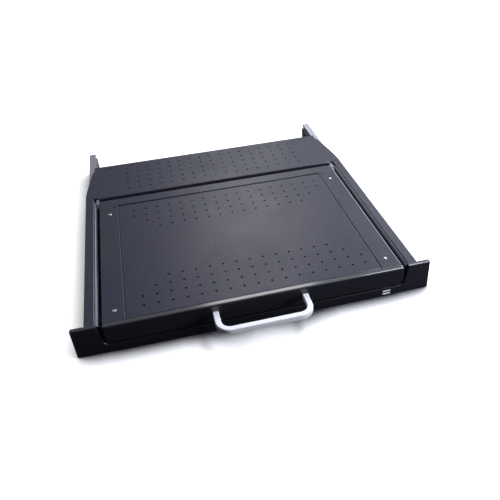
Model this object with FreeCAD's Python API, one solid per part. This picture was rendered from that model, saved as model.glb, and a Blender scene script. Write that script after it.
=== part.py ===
import FreeCAD, Part
import math
import os

# One rack unit console drawer, in millimetres, +Z up.
# Origin: centre of the four front rack holes, on the face that meets the rack posts.
# X runs to the right, Y runs back into the rack.

# ---- rack standard ----
PANEL_W = 482.6            # 19 inch panel width
PANEL_H = 44.0             # one unit panel, with its usual clearance
RACK_HOLE_X = PANEL_W - 17.5     # hole to hole across the posts
RACK_HOLE_Z = 31.75        # lowest to highest hole of one unit
RACK_HOLE_R = 3.3
RACK_OPENING = PANEL_W - 32.6    # between the posts

# ---- sheet and plate thicknesses ----
SHEET = 1.2                # folded covers and tray
EAR_T = 2.0                # front bracket plate
PLATE_T = 1.5              # bracket side plate
FIT = 0.3                  # general clearance between separate pieces
RUN = 0.1                  # running clearance of the slides

# ---- heights ----
BOTTOM = -PANEL_H / 2
FLOOR = BOTTOM + SHEET
FLANGE_TOP = 20.1          # top of the tray's flanges
SIDE_TOP = FLANGE_TOP + SHEET
LID_TOP = 22.2
LID_UNDER = -5.5

# ---- widths, from the rack posts inwards; halves about the middle ----
SLIDE_T = 12.7             # closed thickness of a slide
SIDE_OUT = RACK_OPENING / 2 - 1.0       # outer edge of the side covers
FLANGE_OUT = SIDE_OUT - 2.0             # outer edge of the tray's flanges
SLIDE_OUT = RACK_OPENING / 2 - 5.5      # leaves room for the bracket plates
SLIDE_IN = SLIDE_OUT - SLIDE_T
TRAY_OUT = SLIDE_IN
TRAY_IN = TRAY_OUT - SHEET
LID_HALF = TRAY_IN - 3.8
LCD_FRAME_HALF = LID_HALF - 11.8        # frame round the screen
PANEL_HALF = LID_HALF - 30.5            # vent panel
TAIL_HALF = TRAY_IN + 3.8               # rear cover at its tail

# ---- depths, from the lid's rear edge ----
LID_FRONT = -10.2
LID_BACK = 308.7
HINGE_Y = LID_BACK - 6.0
SIDE_END = LID_BACK + 14.0              # where the side covers meet the rear cover
COVER_FRONT = SIDE_END - 2.0            # front edge of the rear cover
TRAY_END = SIDE_END + 116.0             # rear edge of tray and rear cover
PANEL_BACK = LID_BACK - 25.9            # rear edge of the vent panel
LCD_FRAME_BACK = LID_BACK - 8.4
SLIDE_START = 1.5
SLIDE_LEN = TRAY_END + 69.3             # 20 inch

# ---- lid ----
LID_WALL = 1.5
LID_EDGE_R = 2.5           # rounding along the upper side edges
LID_CORNER_R = 9.0         # lower corners
LID_ROOF = 3.5             # thickness of the frame's top
LID_BAR_R = 2.0            # rounding of the bar's front edges
LID_SEAM = 0.5             # bevel on each side of the joint between frame and bar
BAR_D = 8.2                # depth of the front bar
GROOVE = 1.5               # open groove beside the vent panel
GROOVE_BACK = 4.5          # and behind it
GROOVE_FRONT = 0.4         # joint with the front bar
LEDGE = 6.0                # ledge that carries the vent panel
PANEL_SEAT = 20.7          # height of the ledge under the vent panel
LID_SCREW_X = LID_HALF - 16.2
LID_SCREW_Y = (19.1, PANEL_BACK - 20.8)
LID_SCREW_R = 2.9
PANEL_PIN_X = PANEL_HALF + 6.7   # small holes at the panel's rear corners
PANEL_PIN_R = 1.7
HINGE_Z = 13.0
HINGE_PIN_R = 2.5
LEAF_T = 1.4

# ---- display ----
OSD_STRIP = 10.75          # room beside the display module for the menu buttons
LCD_FRAME_T = 1.6
DISPLAY_W = 2 * (LCD_FRAME_HALF - OSD_STRIP)
DISPLAY_D = LCD_FRAME_BACK - 3.8
DISPLAY_T = 12.0
SCREEN_W = DISPLAY_W - 20.6
SCREEN_D = DISPLAY_D - 26.2
SCREEN_Y = (LID_FRONT + BAR_D + LCD_FRAME_BACK) / 2 + 1.85
OSD_COUNT = 4
OSD_R = 3.0
OSD_PITCH = 16.0
OSD_X = DISPLAY_W / 2 + 6.35
OSD_BOARD_Z = -0.2
BOARD_T = 1.6              # thickness of every circuit board
DRIVER_W = 120.0           # display board
DRIVER_D = 110.0

# ---- vent holes ----
VENT_R = 1.45
VENT_COLUMNS = 17
VENT_ROWS = (17, 17, 15, 13)
VENT_PITCH = (2 * PANEL_HALF - 38.6) / (VENT_COLUMNS - 1)
PANEL_VENT_X = 4.0         # the panel's pattern sits a little to the right
PANEL_VENT_FRONT = 18.2    # first row of the front band
PANEL_VENT_REAR = PANEL_BACK - 19.7     # first row of the rear band
COVER_VENT_Y = SIDE_END + 20.0          # first row of the rear cover
COVER_VENT_ROWS = 5

# ---- handle ----
HANDLE_W = 128.6
HANDLE_REACH = 40.6
HANDLE_BAR = 8.0
HANDLE_R = 20.0            # outer corner radius
HANDLE_Z = 8.3             # centre height
HANDLE_EDGE_R = 1.4
HANDLE_THREAD = 12.0       # depth of the threaded holes in the legs

# ---- slides: rolled members, ball retainers and balls ----
SLIDE_Z = -1.5             # centre height
OUTER_HALF = 17.5          # half height of the outer member
OUTER_T = 1.4
RAIL_T = 1.2               # middle and inner members
OUTER_BALL_R = 1.6
INNER_BALL_R = 1.2
RACE = 0.35                # depth of the ball tracks
OUTER_BALL_Z = OUTER_HALF - OUTER_T + RACE - RUN - OUTER_BALL_R
MIDDLE_HALF = OUTER_BALL_Z - OUTER_BALL_R - RUN + RACE
INNER_BALL_Z = MIDDLE_HALF - RAIL_T + RACE - RUN - INNER_BALL_R
INNER_HALF = INNER_BALL_Z - INNER_BALL_R - RUN + RACE
MIDDLE_WEB = SLIDE_IN + 6.4
OUTER_BALL_X = SLIDE_IN + 7.2
INNER_BALL_X = SLIDE_IN + 4.0
RETAINER_T = 0.6
RETAINER_LEN = 250.0
BALL_COUNT = 7
BALL_PITCH = 34.0
REAR_SLOTS = (SLIDE_LEN - 68.0, SLIDE_LEN - 28.0)
REAR_SLOT = 24.0           # slot length
REAR_SLOT_R = 2.6
SLIDE_SCREWS = (30.0, 150.0, HINGE_Y - 34.7, TRAY_END - 18.7)
RIVETS = (14.0, 46.0)
BRACKET_LEN = 62.0         # how far the bracket plate runs back along the slide
BRACKET_HALF = 16.0

# ---- keyboard ----
DECK_TOP = -13.0
DECK_FRONT = -2.0
DECK_BACK = HINGE_Y - 24.7
MAIN_UNITS = 15            # key units across the main block
PAD_UNITS = 4              # and across the number pad
KEY_BLOCK_GAP = 8.0
KEY_MARGIN = 20.6          # from the tray's wall to the keys
KEY_PITCH = (2 * (TRAY_IN - KEY_MARGIN) - KEY_BLOCK_GAP) / (MAIN_UNITS + PAD_UNITS)
KEY_GAP = 1.2
KEY_TAPER = 2.6
KEY_TOP = -8.6
KEY_UNDER = -14.0
KEY_RAKE = 0.4             # front edge of a key's top is this much lower
STEM = 4.0
KEYS_Y = DECK_BACK - 16.0  # rear edge of the key field
KEY_PLATE_TOP = -16.6
KEY_PLATE_T = 1.4
KEY_ROWS = (
    ("function_keys", [1] * 15),
    ("number_row_keys", [1] * 13 + [2]),
    ("upper_letter_keys", [1.5] + [1] * 12 + [1.5]),
    ("home_row_keys", [1.75] + [1] * 11 + [2.25]),
    ("lower_letter_keys", [2.25] + [1] * 10 + [1.75, 1]),
    ("bottom_keys", [1.25, 1.25, 1.25, 5.25] + [1] * 6),
)
KEYS_FRONT = KEYS_Y - len(KEY_ROWS) * KEY_PITCH
PAD_X = -42.0              # touchpad, under the main block
PAD_W = 66.0
PAD_D = 46.0
PAD_Y = KEYS_FRONT - 59.7
PAD_BUTTON_D = 15.0

# ---- bezel ----
BEZEL_D = 5.0
BEZEL_BACK = -(EAR_T + FIT)
BEZEL_FRONT = BEZEL_BACK - BEZEL_D
RECESS_TOP = LID_HALF + 7.7      # half width of the recess at its mouth
RECESS_FOOT = LID_HALF + 2.2
RECESS_Z = -9.5            # floor of the recess
RECESS_R = 7.0
BEZEL_EDGE_R = 1.6
INDICATOR_X = PANEL_W / 2 - 62.3
INDICATOR_Z = (-14.9, -19.5)
INDICATOR_W = 11.0
INDICATOR_H = 1.8

# ---- side covers and rear cover ----
TRAY_BEND_R = 5.0          # large outer bend where the tray's wall turns out over the slide
COVER_NOSE = 1.0           # rounding of the side cover's inner edge
SIDE_NOTCH = 20.0          # length of the opening in the bend at the hinge
COVER_LIP_LOW = -4.0       # lower edge of the rear cover's front lip
TAIL_STEP = 2.6            # small shoulder where the curve meets the tail
TAIL_LEN = 14.0

# ---- tray floor slots ----
TRAY_SLOT_ROWS = 5
TRAY_SLOT_COLUMNS = 9
TRAY_SLOT = (16.0, 3.0)
TRAY_SLOT_PITCH = (22.0, 18.0)
TRAY_SLOT_Y = SIDE_END + 17.3

# ---- rear panel cut-outs: centre x, width, centre z, height ----
INLET = (-(TRAY_IN - 35.6), 27.6, 0.0, 20.2)
SWITCH = (-(TRAY_IN - 77.6), 19.6, 0.0, 13.2)
BOARD_X1 = TRAY_IN - 15.6
BOARD_X0 = BOARD_X1 - 160.0
VIDEO = (BOARD_X0 + 70.0, 31.0, -8.0, 12.8)
USB = (BOARD_X1 - 40.0, 13.6, -12.9, 6.8)
BOARD_Y0 = SIDE_END + 27.3
BOARD_Y1 = TRAY_END - 4.7
BOARD_Z = -17.8
PANEL_SLOTS = 9            # cooling slots in the rear panel
PANEL_SLOT_PITCH = 9.0
PANEL_SLOT_X = -20.0
ROCKER_TILT = 8.0
ROCKER_PIN_R = 1.0
SUPPLY_X = -TRAY_IN + 10.6       # left side of the power supply
SUPPLY_W = 95.0
SUPPLY_Y = SIDE_END + 22.3
SUPPLY_D = 60.0
SUPPLY_TOP = 12.0
COVER_SCREW_X = TRAY_IN - 25.6

# ---- values that follow ----
SIDES = {"left": -1, "right": 1}
V = FreeCAD.Vector


def box(x0, x1, y0, y1, z0, z1):
    """Solid between two corners, in any order."""
    return Part.makeBox(abs(x1 - x0), abs(y1 - y0), abs(z1 - z0),
                        V(min(x0, x1), min(y0, y1), min(z0, z1)))


def centred(width, y0, y1, z0, z1):
    """Solid centred on X."""
    return box(-width / 2, width / 2, y0, y1, z0, z1)


def face(points):
    """Flat face inside a closed outline."""
    return Part.Face(Part.makePolygon([V(*p) for p in points] + [V(*points[0])]))


def along_y(outline, y0, y1):
    """Solid from an X, Z outline, drawn out along Y."""
    return face([(x, y0, z) for x, z in outline]).extrude(V(0, y1 - y0, 0))


def along_z(outline, z0, z1):
    """Solid from an X, Y outline, drawn out along Z."""
    return face([(x, y, z0) for x, y in outline]).extrude(V(0, 0, z1 - z0))


def cylinder(radius, start, direction, length):
    return Part.makeCylinder(radius, length, V(*start), V(*direction))


def prism(radius, start, direction, length, flats=12):
    """Shank or hole out of sight, with flats instead of a round face."""
    turns = [2 * math.pi * (n + 0.5) / flats for n in range(flats)]
    ring = [(radius * math.cos(turn), radius * math.sin(turn)) for turn in turns]
    if direction[0]:
        points = [(0, a, b) for a, b in ring]
    elif direction[1]:
        points = [(a, 0, b) for a, b in ring]
    else:
        points = [(a, b, 0) for a, b in ring]
    solid = face(points).extrude(V(*direction) * length)
    solid.translate(V(*start))
    return solid


def mirrored(shape, side):
    """The piece is drawn for the right side and mirrored for the left."""
    if side > 0:
        return shape
    return shape.mirror(V(0, 0, 0), V(1, 0, 0))


def edges_where(shape, test):
    return [edge for edge in shape.Edges if test(edge)]


def lies_at(edge, **place):
    """True where every point of the edge has the named coordinates."""
    box_ = edge.BoundBox
    spans = {"x": (box_.XMin, box_.XMax), "y": (box_.YMin, box_.YMax), "z": (box_.ZMin, box_.ZMax)}
    return all(abs(spans[axis][0] - value) < 0.01 and abs(spans[axis][1] - value) < 0.01
               for axis, value in place.items())


def cut_all(shape, tools):
    return shape.cut(Part.makeCompound(tools)) if tools else shape


def group(shapes):
    return Part.makeCompound(shapes)


def vent(x, y, z0, z1):
    """Punched vent with eight flats."""
    outline = [(x + VENT_R * math.cos(math.radians(22.5 + 45 * n)),
                y + VENT_R * math.sin(math.radians(22.5 + 45 * n))) for n in range(8)]
    return along_z(outline, z0, z1)


def pan_screw(x, y, z, radius, head, length):
    """Screw with a bevelled head, standing on a face at height z and reaching down."""
    crown = prism(radius * 2, (x, y, z), (0, 0, 1), head, 16)
    crown = crown.makeChamfer(head * 0.5, edges_where(crown, lambda e: lies_at(e, z=z + head)))
    slot = box(x - radius * 1.3, x + radius * 1.3, y - 0.35, y + 0.35, z + head * 0.5, z + head)
    return crown.cut(slot).fuse(prism(radius, (x, y, z - length), (0, 0, 1), length))


# ---------------------------------------------------------------- slides

def track(x, z, radius, toward):
    """Corners of a shallow ball track in a lip, read along X; toward is +1 when it opens upwards."""
    wide = radius * 0.75
    return [(x - wide, z), (x - wide * 0.5, z - toward * RACE), (x + wide * 0.5, z - toward * RACE),
            (x + wide, z)]


def rail_holes(web_in, places, radius, side):
    return [mirrored(prism(radius, (web_in - 1, y, SLIDE_Z), (1, 0, 0), 4), side) for y in places]


def outer_slide(side):
    """Rack side member: web outside, lips with ball tracks, slots for the rear posts."""
    under = OUTER_HALF - OUTER_T
    tip = SLIDE_IN + 1.6
    upper = [(SLIDE_OUT, OUTER_HALF), (tip, OUTER_HALF), (tip, under - 0.8), (tip + 1.0, under - 0.8),
             (tip + 1.0, under)]
    upper += track(OUTER_BALL_X, under, OUTER_BALL_R, -1)
    upper += [(SLIDE_OUT - OUTER_T, under)]
    lower_web = [(x, -z) for x, z in reversed(upper[1:])]
    outline = [(x, SLIDE_Z + z) for x, z in upper + lower_web + [(SLIDE_OUT, -OUTER_HALF)]]
    member = along_y(outline, SLIDE_START, SLIDE_START + SLIDE_LEN)
    web_in = SLIDE_OUT - OUTER_T
    slots = []
    for y in REAR_SLOTS:
        near = y - REAR_SLOT / 2 + REAR_SLOT_R
        far = y + REAR_SLOT / 2 - REAR_SLOT_R
        slot = box(web_in - 1, SLIDE_OUT + 1, near, far, SLIDE_Z - REAR_SLOT_R, SLIDE_Z + REAR_SLOT_R)
        ends = [cylinder(REAR_SLOT_R, (web_in - 1, at, SLIDE_Z), (1, 0, 0), OUTER_T + 2)
                for at in (near, far)]
        slots.append(slot.fuse(ends))
    return mirrored(cut_all(member, slots), side)


def middle_slide(side):
    """Middle member: a web whose lips carry tracks above for the outer balls and below for the inner."""
    web_out = MIDDLE_WEB + RAIL_T
    under = MIDDLE_HALF - RAIL_T
    inner_tip = SLIDE_IN + 2.2
    upper = [(web_out, under), (SLIDE_OUT - OUTER_T - 1.2, under),
             (SLIDE_OUT - OUTER_T - 1.2, MIDDLE_HALF)]
    upper += list(reversed(track(OUTER_BALL_X, MIDDLE_HALF, OUTER_BALL_R, 1)))
    upper += [(inner_tip, MIDDLE_HALF), (inner_tip, under)]
    upper += track(INNER_BALL_X, under, INNER_BALL_R, -1)
    upper += [(MIDDLE_WEB, under)]
    lower = [(x, -z) for x, z in reversed(upper)]
    outline = [(x, SLIDE_Z + z) for x, z in upper + lower]
    member = along_y(outline, SLIDE_START, SLIDE_START + SLIDE_LEN)
    holes = rail_holes(MIDDLE_WEB, (60, 160, 260, 360, 460), 2.5, 1)
    return mirrored(cut_all(member, holes), side)


def inner_slide(side):
    """Drawer side member, screwed to the tray wall, with tracks on its lips."""
    web_out = SLIDE_IN + RAIL_T
    under = INNER_HALF - RAIL_T
    tip = MIDDLE_WEB - 1.0
    upper = [(web_out, under), (tip, under), (tip, INNER_HALF)]
    upper += list(reversed(track(INNER_BALL_X, INNER_HALF, INNER_BALL_R, 1)))
    upper += [(SLIDE_IN, INNER_HALF)]
    lower = [(x, -z) for x, z in reversed(upper)]
    outline = [(x, SLIDE_Z + z) for x, z in upper + lower]
    member = along_y(outline, SLIDE_START, SLIDE_START + SLIDE_LEN)
    return mirrored(cut_all(member, rail_holes(SLIDE_IN, SLIDE_SCREWS, 1.8, 1)), side)


def ball(x, y, z, radius):
    """Ball with few faces: an eight sided drum between two smaller ends."""
    rings = []
    for height, wide in ((-0.96, 0.28), (-0.60, 0.80), (0.60, 0.80), (0.96, 0.28)):
        ring = [V(x + radius * wide * math.cos(math.pi * (n + 0.5) / 4),
                  y + radius * wide * math.sin(math.pi * (n + 0.5) / 4), z + radius * height) for n in range(8)]
        rings.append(Part.makePolygon(ring + [ring[0]]))
    return Part.makeLoft(rings, True, True)


def ball_retainer(ball_x, ball_z, radius, web, reach, start):
    """Channel shaped retainer: a strip against the web and two lips that carry the balls."""
    thick = RETAINER_T
    outline = [(web, ball_z + thick / 2), (reach, ball_z + thick / 2), (reach, ball_z - thick / 2),
               (web - thick, ball_z - thick / 2)]
    outline += [(x, -z) for x, z in reversed(outline)]
    strip = along_y([(x, SLIDE_Z + z) for x, z in outline], start, start + RETAINER_LEN)
    windows = []
    middle = start + RETAINER_LEN / 2
    for n in range(4):
        y = middle + (n - 1.5) * RETAINER_LEN / 4.4
        windows.append(box(web - thick - 1, web + 1, y - 18, y + 18, SLIDE_Z - ball_z * 0.55,
                           SLIDE_Z + ball_z * 0.55))
    strip = cut_all(strip, windows)
    balls = [ball(ball_x, middle + (n - (BALL_COUNT - 1) / 2) * BALL_PITCH, SLIDE_Z + sign * ball_z,
                  radius)
             for n in range(BALL_COUNT) for sign in (-1, 1)]
    return strip.fuse(balls)


def outer_retainer(side):
    return mirrored(ball_retainer(OUTER_BALL_X, OUTER_BALL_Z, OUTER_BALL_R, SLIDE_OUT - OUTER_T - 0.3,
                                  OUTER_BALL_X - 2.4, SLIDE_START + 110), side)


def inner_retainer(side):
    return mirrored(ball_retainer(INNER_BALL_X, INNER_BALL_Z, INNER_BALL_R, MIDDLE_WEB - 0.2,
                                  INNER_BALL_X - 1.9, SLIDE_START + 180), side)


def both(make):
    """The same piece on each side, as one group."""
    return group([make(side) for side in SIDES.values()])


# ---------------------------------------------------------------- rack brackets

def front_bracket(side):
    """Ear with the two rack holes and a plate riveted to the outer slide."""
    ear_in = SLIDE_OUT
    ear_out = PANEL_W / 2 - 1
    step_x = RACK_OPENING / 2 + 0.5
    top = BOTTOM + PANEL_H - 1.0
    low = BOTTOM + 1
    plate_low = SLIDE_Z - BRACKET_HALF
    plate_top = SLIDE_Z + BRACKET_HALF
    outline = [(ear_in, plate_low), (step_x, plate_low), (step_x, low), (ear_out, low),
               (ear_out, top), (step_x, top), (step_x, plate_top), (ear_in, plate_top)]
    ear = along_y(outline, -EAR_T, 0)
    plate = box(ear_in, ear_in + PLATE_T, 0, BRACKET_LEN, plate_low, plate_top)
    plate = plate.makeFillet(BRACKET_HALF / 2, edges_where(plate, lambda e: lies_at(e, y=BRACKET_LEN)
                                                           and e.BoundBox.ZLength < 0.1))
    tools = [cylinder(RACK_HOLE_R, (RACK_HOLE_X / 2, -EAR_T - 1, z), (0, 1, 0), EAR_T + 2)
             for z in (-RACK_HOLE_Z / 2, RACK_HOLE_Z / 2)]
    tools += [prism(1.6, (ear_in - 1, y, SLIDE_Z), (1, 0, 0), PLATE_T + 2) for y in RIVETS]
    return mirrored(cut_all(ear.fuse(plate).removeSplitter(), tools), side)


def bracket_rivets():
    """Domed rivets through bracket plates, seated on the slides' webs."""
    rivets = []
    end = SLIDE_OUT + PLATE_T + 1.2
    for side in SIDES.values():
        for y in RIVETS:
            shank = prism(1.6, (SLIDE_OUT, y, SLIDE_Z), (1, 0, 0), PLATE_T)
            head = prism(3.0, (SLIDE_OUT + PLATE_T, y, SLIDE_Z), (1, 0, 0), 1.2, 16)
            head = head.makeChamfer(0.8, edges_where(head, lambda e: lies_at(e, x=end)))
            rivets.append(mirrored(shank.fuse(head), side))
    return group(rivets)


# ---------------------------------------------------------------- drawer body

def base_tray():
    """Folded tray: floor, two walls and, past a large bend, a flange over each slide."""
    flange_low = FLANGE_TOP - SHEET
    half = [(TRAY_OUT, BOTTOM), (TRAY_OUT, flange_low), (FLANGE_OUT, flange_low),
            (FLANGE_OUT, FLANGE_TOP),
            (TRAY_IN, FLANGE_TOP), (TRAY_IN, FLOOR)]
    outline = half + [(-x, z) for x, z in reversed(half)]
    tray = along_y(outline, BEZEL_BACK, TRAY_END - SHEET)

    def bend(x, z):
        return edges_where(tray, lambda e: lies_at(e, z=z) and e.BoundBox.YLength > 10
                           and abs(abs(e.CenterOfMass.x) - x) < 0.01)

    tray = tray.makeFillet(SHEET, bend(TRAY_OUT, BOTTOM))
    tray = tray.makeFillet(TRAY_BEND_R, bend(TRAY_IN, FLANGE_TOP))
    tray = tray.makeFillet(TRAY_BEND_R - SHEET, bend(TRAY_OUT, flange_low))
    tools = []
    bend_end = TRAY_IN + TRAY_BEND_R + FIT
    for side in SIDES.values():
        past = box(side * TRAY_OUT, side * (FLANGE_OUT + 1), SIDE_END + 2, TRAY_END, BOTTOM + 3,
                   FLANGE_TOP + 1)
        notch = box(side * (TRAY_IN - 1), side * bend_end, SIDE_END - SIDE_NOTCH, SIDE_END + 2,
                    FLANGE_TOP - TRAY_BEND_R, FLANGE_TOP + 1)
        wall_top = box(side * (TRAY_IN - 1), side * (TRAY_OUT + 0.01), SIDE_END + 2, TRAY_END,
                       FLANGE_TOP - FIT, FLANGE_TOP + 1)
        tools += [past, notch, wall_top]
        tools += [mirrored(prism(1.6, (TRAY_IN - 1, y, SLIDE_Z), (1, 0, 0), 4), side)
                  for y in SLIDE_SCREWS]
    wide, deep = TRAY_SLOT
    for row in range(TRAY_SLOT_ROWS):
        for column in range(TRAY_SLOT_COLUMNS):
            x = (column - (TRAY_SLOT_COLUMNS - 1) / 2) * TRAY_SLOT_PITCH[0]
            y = TRAY_SLOT_Y + row * TRAY_SLOT_PITCH[1]
            tools.append(box(x - wide / 2, x + wide / 2, y - deep / 2, y + deep / 2, BOTTOM - 1,
                             FLOOR + 1))
    return cut_all(tray, tools)


def front_bezel():
    """Panel with rounded front edges, open in a U where the lid's bar sits."""
    half_w = PANEL_W / 2
    top = BOTTOM + PANEL_H
    panel = box(-half_w, half_w, BEZEL_FRONT, BEZEL_BACK, BOTTOM, top)
    ends = edges_where(panel, lambda e: e.BoundBox.YLength > 1)
    panel = panel.makeFillet(1.2, ends)
    recess = along_y([(RECESS_TOP, top + 1), (RECESS_FOOT, RECESS_Z), (-RECESS_FOOT, RECESS_Z),
                      (-RECESS_TOP, top + 1)], BEZEL_FRONT - 1, BEZEL_BACK + 1)
    corners = edges_where(recess, lambda e: e.BoundBox.YLength > 1 and abs(e.BoundBox.ZMin - RECESS_Z) < 0.01
                          and e.BoundBox.XLength < 0.1)
    panel = panel.cut(recess.makeFillet(RECESS_R, corners))
    front = edges_where(panel, lambda e: lies_at(e, y=BEZEL_FRONT) and e.BoundBox.ZMax > RECESS_Z - 1)
    panel = panel.makeFillet(BEZEL_EDGE_R, front)
    hollow = []
    for side in SIDES.values():
        x0 = RECESS_TOP + 3
        x1 = half_w - 2
        pocket = box(side * x0, side * x1, BEZEL_FRONT + 2.2, BEZEL_BACK + 1, BOTTOM + 2, top - 2.5)
        hollow.append(pocket)
    wide = INDICATOR_W / 2 + RUN
    high = INDICATOR_H / 2 + RUN
    for z in INDICATOR_Z:
        hollow.append(box(INDICATOR_X - wide, INDICATOR_X + wide, BEZEL_FRONT - 1, BEZEL_BACK + 1,
                          z - high, z + high))
    return cut_all(panel, hollow)


def indicator_bars():
    """Two light bars that show power and link through the bezel."""
    bars = []
    for z in INDICATOR_Z:
        bar = box(INDICATOR_X - INDICATOR_W / 2, INDICATOR_X + INDICATOR_W / 2, BEZEL_FRONT - 0.3,
                  BEZEL_BACK,
                  z - INDICATOR_H / 2, z + INDICATOR_H / 2)
        rims = edges_where(bar, lambda e: lies_at(e, y=BEZEL_FRONT - 0.3))
        bars.append(bar.makeChamfer(0.25, rims))
    return group(bars)


def side_cover(side):
    """Flat cover strip over a slide; its inner edge is rounded where the tray's bend begins."""
    near = TRAY_IN + TRAY_BEND_R + RUN
    strip = box(near, SIDE_OUT, BEZEL_BACK, SIDE_END - FIT, FLANGE_TOP, SIDE_TOP)
    inner = edges_where(strip, lambda e: lies_at(e, x=near, z=SIDE_TOP))
    strip = strip.makeFillet(COVER_NOSE, inner)
    outer = edges_where(strip, lambda e: lies_at(e, x=SIDE_OUT, z=SIDE_TOP))
    return mirrored(strip.makeFillet(SHEET / 2, outer), side)


def cover_edge(side, z):
    """One side of the rear cover: a curve drawn in to a small shoulder, then the tail."""
    shoulder = TRAY_END - TAIL_LEN
    curve = Part.BezierCurve()
    poles = [(SIDE_OUT, SIDE_END), (SIDE_OUT, SIDE_END + 22), (SIDE_OUT - 5, SIDE_END + 54),
             (TAIL_HALF + TAIL_STEP, shoulder - 2 * TAIL_STEP)]
    curve.setPoles([V(side * x, y, z) for x, y in poles])
    step = [V(side * (TAIL_HALF + TAIL_STEP), shoulder - 2 * TAIL_STEP, z),
            V(side * TAIL_HALF, shoulder, z),
            V(side * TAIL_HALF, TRAY_END, z)]
    return [curve.toShape()] + Part.makePolygon(step).Edges


def rear_cover():
    """Vented cover behind the lid: wide at the front, drawn in by a curve to its tail."""
    z = SIDE_TOP - SHEET
    front_half = TRAY_IN - FIT
    front = [V(-SIDE_OUT, SIDE_END, z), V(-front_half, SIDE_END, z), V(-front_half, COVER_FRONT, z),
             V(front_half, COVER_FRONT, z), V(front_half, SIDE_END, z), V(SIDE_OUT, SIDE_END, z)]
    edges = cover_edge(1, z) + cover_edge(-1, z) + Part.makePolygon(front).Edges
    edges.append(Part.makeLine(V(-TAIL_HALF, TRAY_END, z), V(TAIL_HALF, TRAY_END, z)))
    cover = Part.Face(Part.Wire(Part.__sortEdges__(edges))).extrude(V(0, 0, SHEET))
    lip = box(-front_half, front_half, COVER_FRONT, COVER_FRONT + SHEET, COVER_LIP_LOW, z + 0.1)
    cover = cover.fuse(lip).removeSplitter()
    nose = edges_where(cover, lambda e: lies_at(e, y=COVER_FRONT, z=SIDE_TOP))
    cover = cover.makeFillet(SHEET * 0.9, nose)
    holes = [vent((column - (VENT_COLUMNS - 1) / 2) * VENT_PITCH, COVER_VENT_Y + row * VENT_PITCH, z - 1,
                  SIDE_TOP + 1)
             for row in range(COVER_VENT_ROWS) for column in range(VENT_COLUMNS)]
    holes += [prism(1.7, (x, y, z - 1), (0, 0, 1), 5) for x, y in cover_screw_places()]
    return cut_all(cover, holes)


def cover_screw_places():
    return [(x, TRAY_END - 9.0) for x in (-COVER_SCREW_X, 0.0, COVER_SCREW_X)]


def rear_panel():
    """Back wall with the inlet, switch and port cut-outs; its top flange carries the rear cover."""
    half = TRAY_IN - FIT
    low = FLOOR
    high = SIDE_TOP - SHEET
    outline = [(TRAY_END - SHEET, low), (TRAY_END, low), (TRAY_END, high), (TRAY_END - 16, high),
               (TRAY_END - 16, high - SHEET), (TRAY_END - SHEET, high - SHEET)]
    wall = face([(-half, y, z) for y, z in outline]).extrude(V(2 * half, 0, 0))
    tools = [box(x - w / 2, x + w / 2, TRAY_END - 3, TRAY_END + 1, z - h / 2, z + h / 2)
             for x, w, z, h in (INLET, SWITCH, VIDEO, USB)]
    tools += [prism(1.3, (x, y, high - SHEET - 1), (0, 0, 1), SHEET + 2) for x, y in cover_screw_places()]
    for n in range(PANEL_SLOTS):
        x = PANEL_SLOT_X + n * PANEL_SLOT_PITCH
        tools.append(box(x - 1.5, x + 1.5, TRAY_END - 3, TRAY_END + 1, -12, 12))
    return cut_all(wall, tools)


# ---------------------------------------------------------------- hinge

def hinge_bracket(side):
    """Plated upright on the tray wall: a rounded eye for the lid's pin and a tab that fills the tray's notch."""
    x0 = TRAY_IN - 2.0
    low = FLOOR + FIT
    shelf = HINGE_Z - 12
    tab_top = FLANGE_TOP - 0.3
    tab_y = (HINGE_Y + 1, COVER_FRONT - 1)
    foot = box(x0, TRAY_IN, HINGE_Y - 22, HINGE_Y + 9, low, shelf)
    neck = box(x0, TRAY_IN, HINGE_Y - 6, HINGE_Y + 6, shelf - 2, HINGE_Z)
    eye = cylinder(6.0, (x0, HINGE_Y, HINGE_Z), (1, 0, 0), 2.0)
    riser = box(x0, TRAY_IN, *tab_y, HINGE_Z - 6, tab_top)
    tab = box(LID_HALF + 0.8, TRAY_IN + 1.9, *tab_y, tab_top - 1.5, tab_top)
    tab = tab.makeFillet(0.7, edges_where(tab, lambda e: lies_at(e,
                                                                 z=tab_top) and e.BoundBox.YLength > 5))
    bracket = foot.fuse([neck, eye, riser, tab]).removeSplitter()
    corners = edges_where(bracket, lambda e: e.BoundBox.XLength > 1.9 and lies_at(e, z=shelf))
    bracket = bracket.makeFillet(1.4, corners)
    return mirrored(bracket.cut(cylinder(HINGE_PIN_R, (x0 - 1, HINGE_Y, HINGE_Z), (1, 0, 0), 4)), side)


def hinge_pin(side):
    """Pin held in the bracket, with a head inside the lid."""
    leaf_in = LID_HALF - LID_WALL - LEAF_T
    head = cylinder(4.2, (leaf_in - 1.7, HINGE_Y, HINGE_Z), (1, 0, 0), 1.5)
    shank = cylinder(HINGE_PIN_R, (leaf_in - 0.5, HINGE_Y, HINGE_Z), (1, 0, 0), TRAY_IN - leaf_in + 0.5)
    return mirrored(head.fuse(shank), side)


def hinge_leaf(side):
    """Leaf inside the lid wall that turns on the pin; its foot folds inwards."""
    x1 = LID_HALF - LID_WALL
    low = LID_UNDER + LID_CORNER_R + FIT
    plate = box(x1 - LEAF_T, x1, HINGE_Y - 34, HINGE_Y + 3.8, low, HINGE_Z + 4)
    fold = box(x1 - 12, x1, HINGE_Y - 34, HINGE_Y - 14, low, low + LEAF_T)
    leaf = plate.fuse(fold).removeSplitter()
    bend = edges_where(leaf, lambda e: lies_at(e, x=x1, z=low))
    leaf = leaf.makeFillet(LEAF_T, bend)
    hole = cylinder(HINGE_PIN_R + 0.05, (x1 - LEAF_T - 1, HINGE_Y, HINGE_Z), (1, 0, 0), LEAF_T + 2)
    return mirrored(leaf.cut(hole), side)


# ---------------------------------------------------------------- keyboard

def key_field_left():
    return -(TRAY_IN - KEY_MARGIN)


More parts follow.
